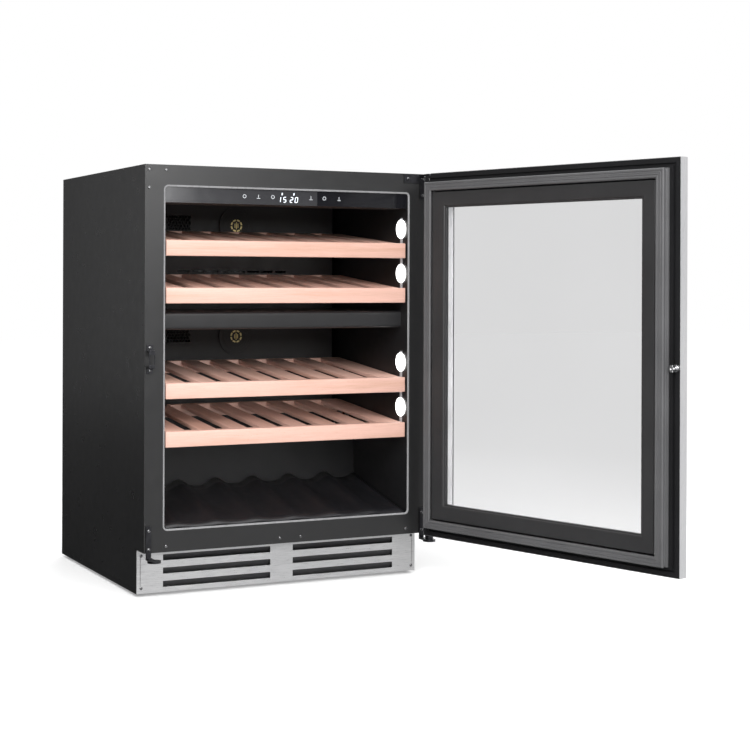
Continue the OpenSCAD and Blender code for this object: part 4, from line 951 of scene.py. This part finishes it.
def display():
    """The lit display: slanted digits of up to seven segments, a mark above each pair, and the CAD
    model's touch marks on both sides."""
    low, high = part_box("display_symbols")
    glass_low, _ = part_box("control_glass")
    bm = welded("display_symbols")
    bmesh.ops.delete(bm, geom=[v for v in bm.verts if abs(v.co.x) < DIGITS_REACH], context="VERTS")
    base = glass_low.z + DIGIT_RISE
    half_w, half_h = (DIGIT_W - DIGIT_STROKE) / 2, (DIGIT_H - DIGIT_STROKE) / 2
    flat = (DIGIT_W - (2 + SEGMENT_GAP) * DIGIT_STROKE, DIGIT_STROKE)
    tall = (DIGIT_STROKE, half_h - SEGMENT_GAP * DIGIT_STROKE)
    segments = {
        "a": (0, 2 * half_h, flat), "g": (0, half_h, flat), "d": (0, 0, flat),
        "b": (half_w, 1.5 * half_h, tall), "c": (half_w, 0.5 * half_h, tall),
        "f": (-half_w, 1.5 * half_h, tall), "e": (-half_w, 0.5 * half_h, tall),
    }
    bars = []
    for digit, middle in DIGIT_PLACES:
        for letter in SEGMENTS[digit]:
            x, z, size = segments[letter]
            bars.append((middle + x + z * DIGIT_SLANT, base + DIGIT_STROKE / 2 + z, size))
    for x in MARK_PLACES:
        bars.append((x, base + DIGIT_H + MARK_GAP + MARK_H / 2, (MARK_W, MARK_H)))
    slanted = Matrix.Identity(4)
    slanted[0][2] = DIGIT_SLANT
    for x, z, (width, height) in bars:
        size = Matrix.Diagonal((width, high.y - low.y, height, 1))
        place = Matrix.Translation((x, (low.y + high.y) / 2, z))
        bmesh.ops.create_cube(bm, size=1, matrix=place @ slanted @ size)
    new_piece("display_marks", bm, "display_white", "cabinet", ["display_symbols"])


# ---- Floor and light ----

FLOOR_SIZE = 12.0
FLOOR_NEAR = 0.9
FLOOR_FAR = 2.6
FLOOR_GLOW = 0.25
FLOOR_TONE = (0.86, 0.86, 0.86)
# The studio that reflections and soft light see: how bright each part of it is, and between which
# heights or sides it starts and ends, from -1 to 1
SKY_LOW = 0.03
SKY_HIGH = 0.14
SKY_SPAN = (-0.2, 0.8)
WALL = 1.05
WALL_SPAN = (0.6, 0.95)
SWEEP = 0.95
SWEEP_SPAN = (-0.9, -0.3)
SWEEP_TOP = (-0.22, -0.10)
MIDDLE = (cad_low + cad_high) / 2
# Each light's name, where it is, what it faces, its size in metres and its power in watts
LIGHTS = (
    ("key", (-2.6, -3.0, 2.6), MIDDLE, (2.0, 2.0), 120),
    ("front", (0.0, -3.6, 1.7), (0.0, 0, 1.3), (2.4, 1.6), 100),
    ("top", (0, -0.2, 3.2), (0, 0, 0), (3.2, 3.2), 95),
    ("left", (-2.05, 1.45, 0.9), (0.25, 0.25, 0.5), (2.9, 1.6), 2),
    ("left_back", (-2.05, 3.8, 0.9), (-0.4, 0.1, 0.5), (1.2, 1.8), 1.5),
    ("back", (1.8, 3.6, 2.2), MIDDLE, (2.4, 2.0), 60),
)


def mix_by_distance(material):
    """Runs from 0 near the object to 1 well away from it."""
    length = add_node(material, "VectorMath", operation="LENGTH")
    join(material, coordinates(material), length.inputs[0])
    return ranged(material, length.outputs["Value"], 0, 1, FLOOR_NEAR, FLOOR_FAR)


def make_floor():
    """A plain pale floor that runs into the white background."""
    bm = bmesh.new()
    bmesh.ops.create_grid(bm, x_segments=2, y_segments=2, size=FLOOR_SIZE)
    mesh = bpy.data.meshes.new("floor")
    bm.to_mesh(mesh)
    bm.free()
    material = new_finish("pale_floor", FLOOR_TONE, 0.7, Emission_Strength=1.0, Specular_IOR_Level=0.1)
    share = mix_by_distance(material)
    colour_from(material, tints(material, share, (0, FLOOR_TONE), (1, (0, 0, 0))))
    glow = tints(material, share, (0, (FLOOR_GLOW,) * 3), (1, (1, 1, 1)))
    join(material, glow, shader_of(material).inputs["Emission Color"])
    mesh.materials.append(material)
    floor = bpy.data.objects.new("floor", mesh)
    scene.collection.objects.link(floor)
    floor.visible_glossy = False


def area_light(name, at, aim, size, power):
    """A soft rectangular lamp at a point, turned to another."""
    data = bpy.data.lights.new(name, "AREA")
    data.shape = "RECTANGLE"
    data.size, data.size_y = size
    data.energy = power
    lamp = bpy.data.objects.new(name, data)
    lamp.location = at
    lamp.rotation_mode = "QUATERNION"
    lamp.rotation_quaternion = (Vector(at) - Vector(aim)).to_track_quat("Z", "Y")
    lamp.visible_camera = False
    scene.collection.objects.link(lamp)


def make_world():
    """White where it is seen, directly or through the glass. What is reflected is a dim studio with a
    pale wall to the right and a pale sweep in front, below the horizon."""
    world = bpy.data.worlds.new("studio")
    world.use_nodes = True
    world.node_tree.nodes.clear()
    way = add_node(world, "SeparateXYZ")
    join(world, add_node(world, "TexCoord").outputs["Generated"], way.inputs[0])
    sky = ranged(world, way.outputs["Z"], SKY_LOW, SKY_HIGH, *SKY_SPAN)
    wall = ranged(world, way.outputs["X"], 0, WALL, *WALL_SPAN)
    front = ranged(world, way.outputs["Y"], SWEEP, 0, *SWEEP_SPAN)
    below = ranged(world, way.outputs["Z"], 1, 0, *SWEEP_TOP)
    sweep = computed(world, "MULTIPLY", front, below)
    level = computed(world, "ADD", sky, computed(world, "ADD", wall, sweep))
    dim = add_node(world, "Background")
    join(world, level, dim.inputs["Color"])
    white = add_node(world, "Background")
    white.inputs["Color"].default_value = (1, 1, 1, 1)
    ray = add_node(world, "LightPath")
    seen = computed(world, "MAXIMUM", ray.outputs["Is Camera Ray"], ray.outputs["Is Transmission Ray"])
    mix = add_node(world, "MixShader")
    join(world, seen, mix.inputs["Fac"])
    join(world, dim.outputs[0], mix.inputs[1])
    join(world, white.outputs[0], mix.inputs[2])
    join(world, mix.outputs[0], add_node(world, "OutputWorld").inputs["Surface"])
    scene.world = world


make_camera()
for node, slot in SLOT_OF.items():
    dress(node, slot)
for node, width in ROUNDED.items():
    soften(node, width)
for number in SHELF_NUMBERS:
    shelf(number)
cabinet_screws()
door_gasket()
glass_bezel()
door_handle()
opening_bead()
lamps()
filter_emblem("upper")
filter_emblem("lower")
display()
wave_floor()
make_floor()
make_world()
for light in LIGHTS:
    area_light(*light)
scene.view_settings.view_transform = "Standard"
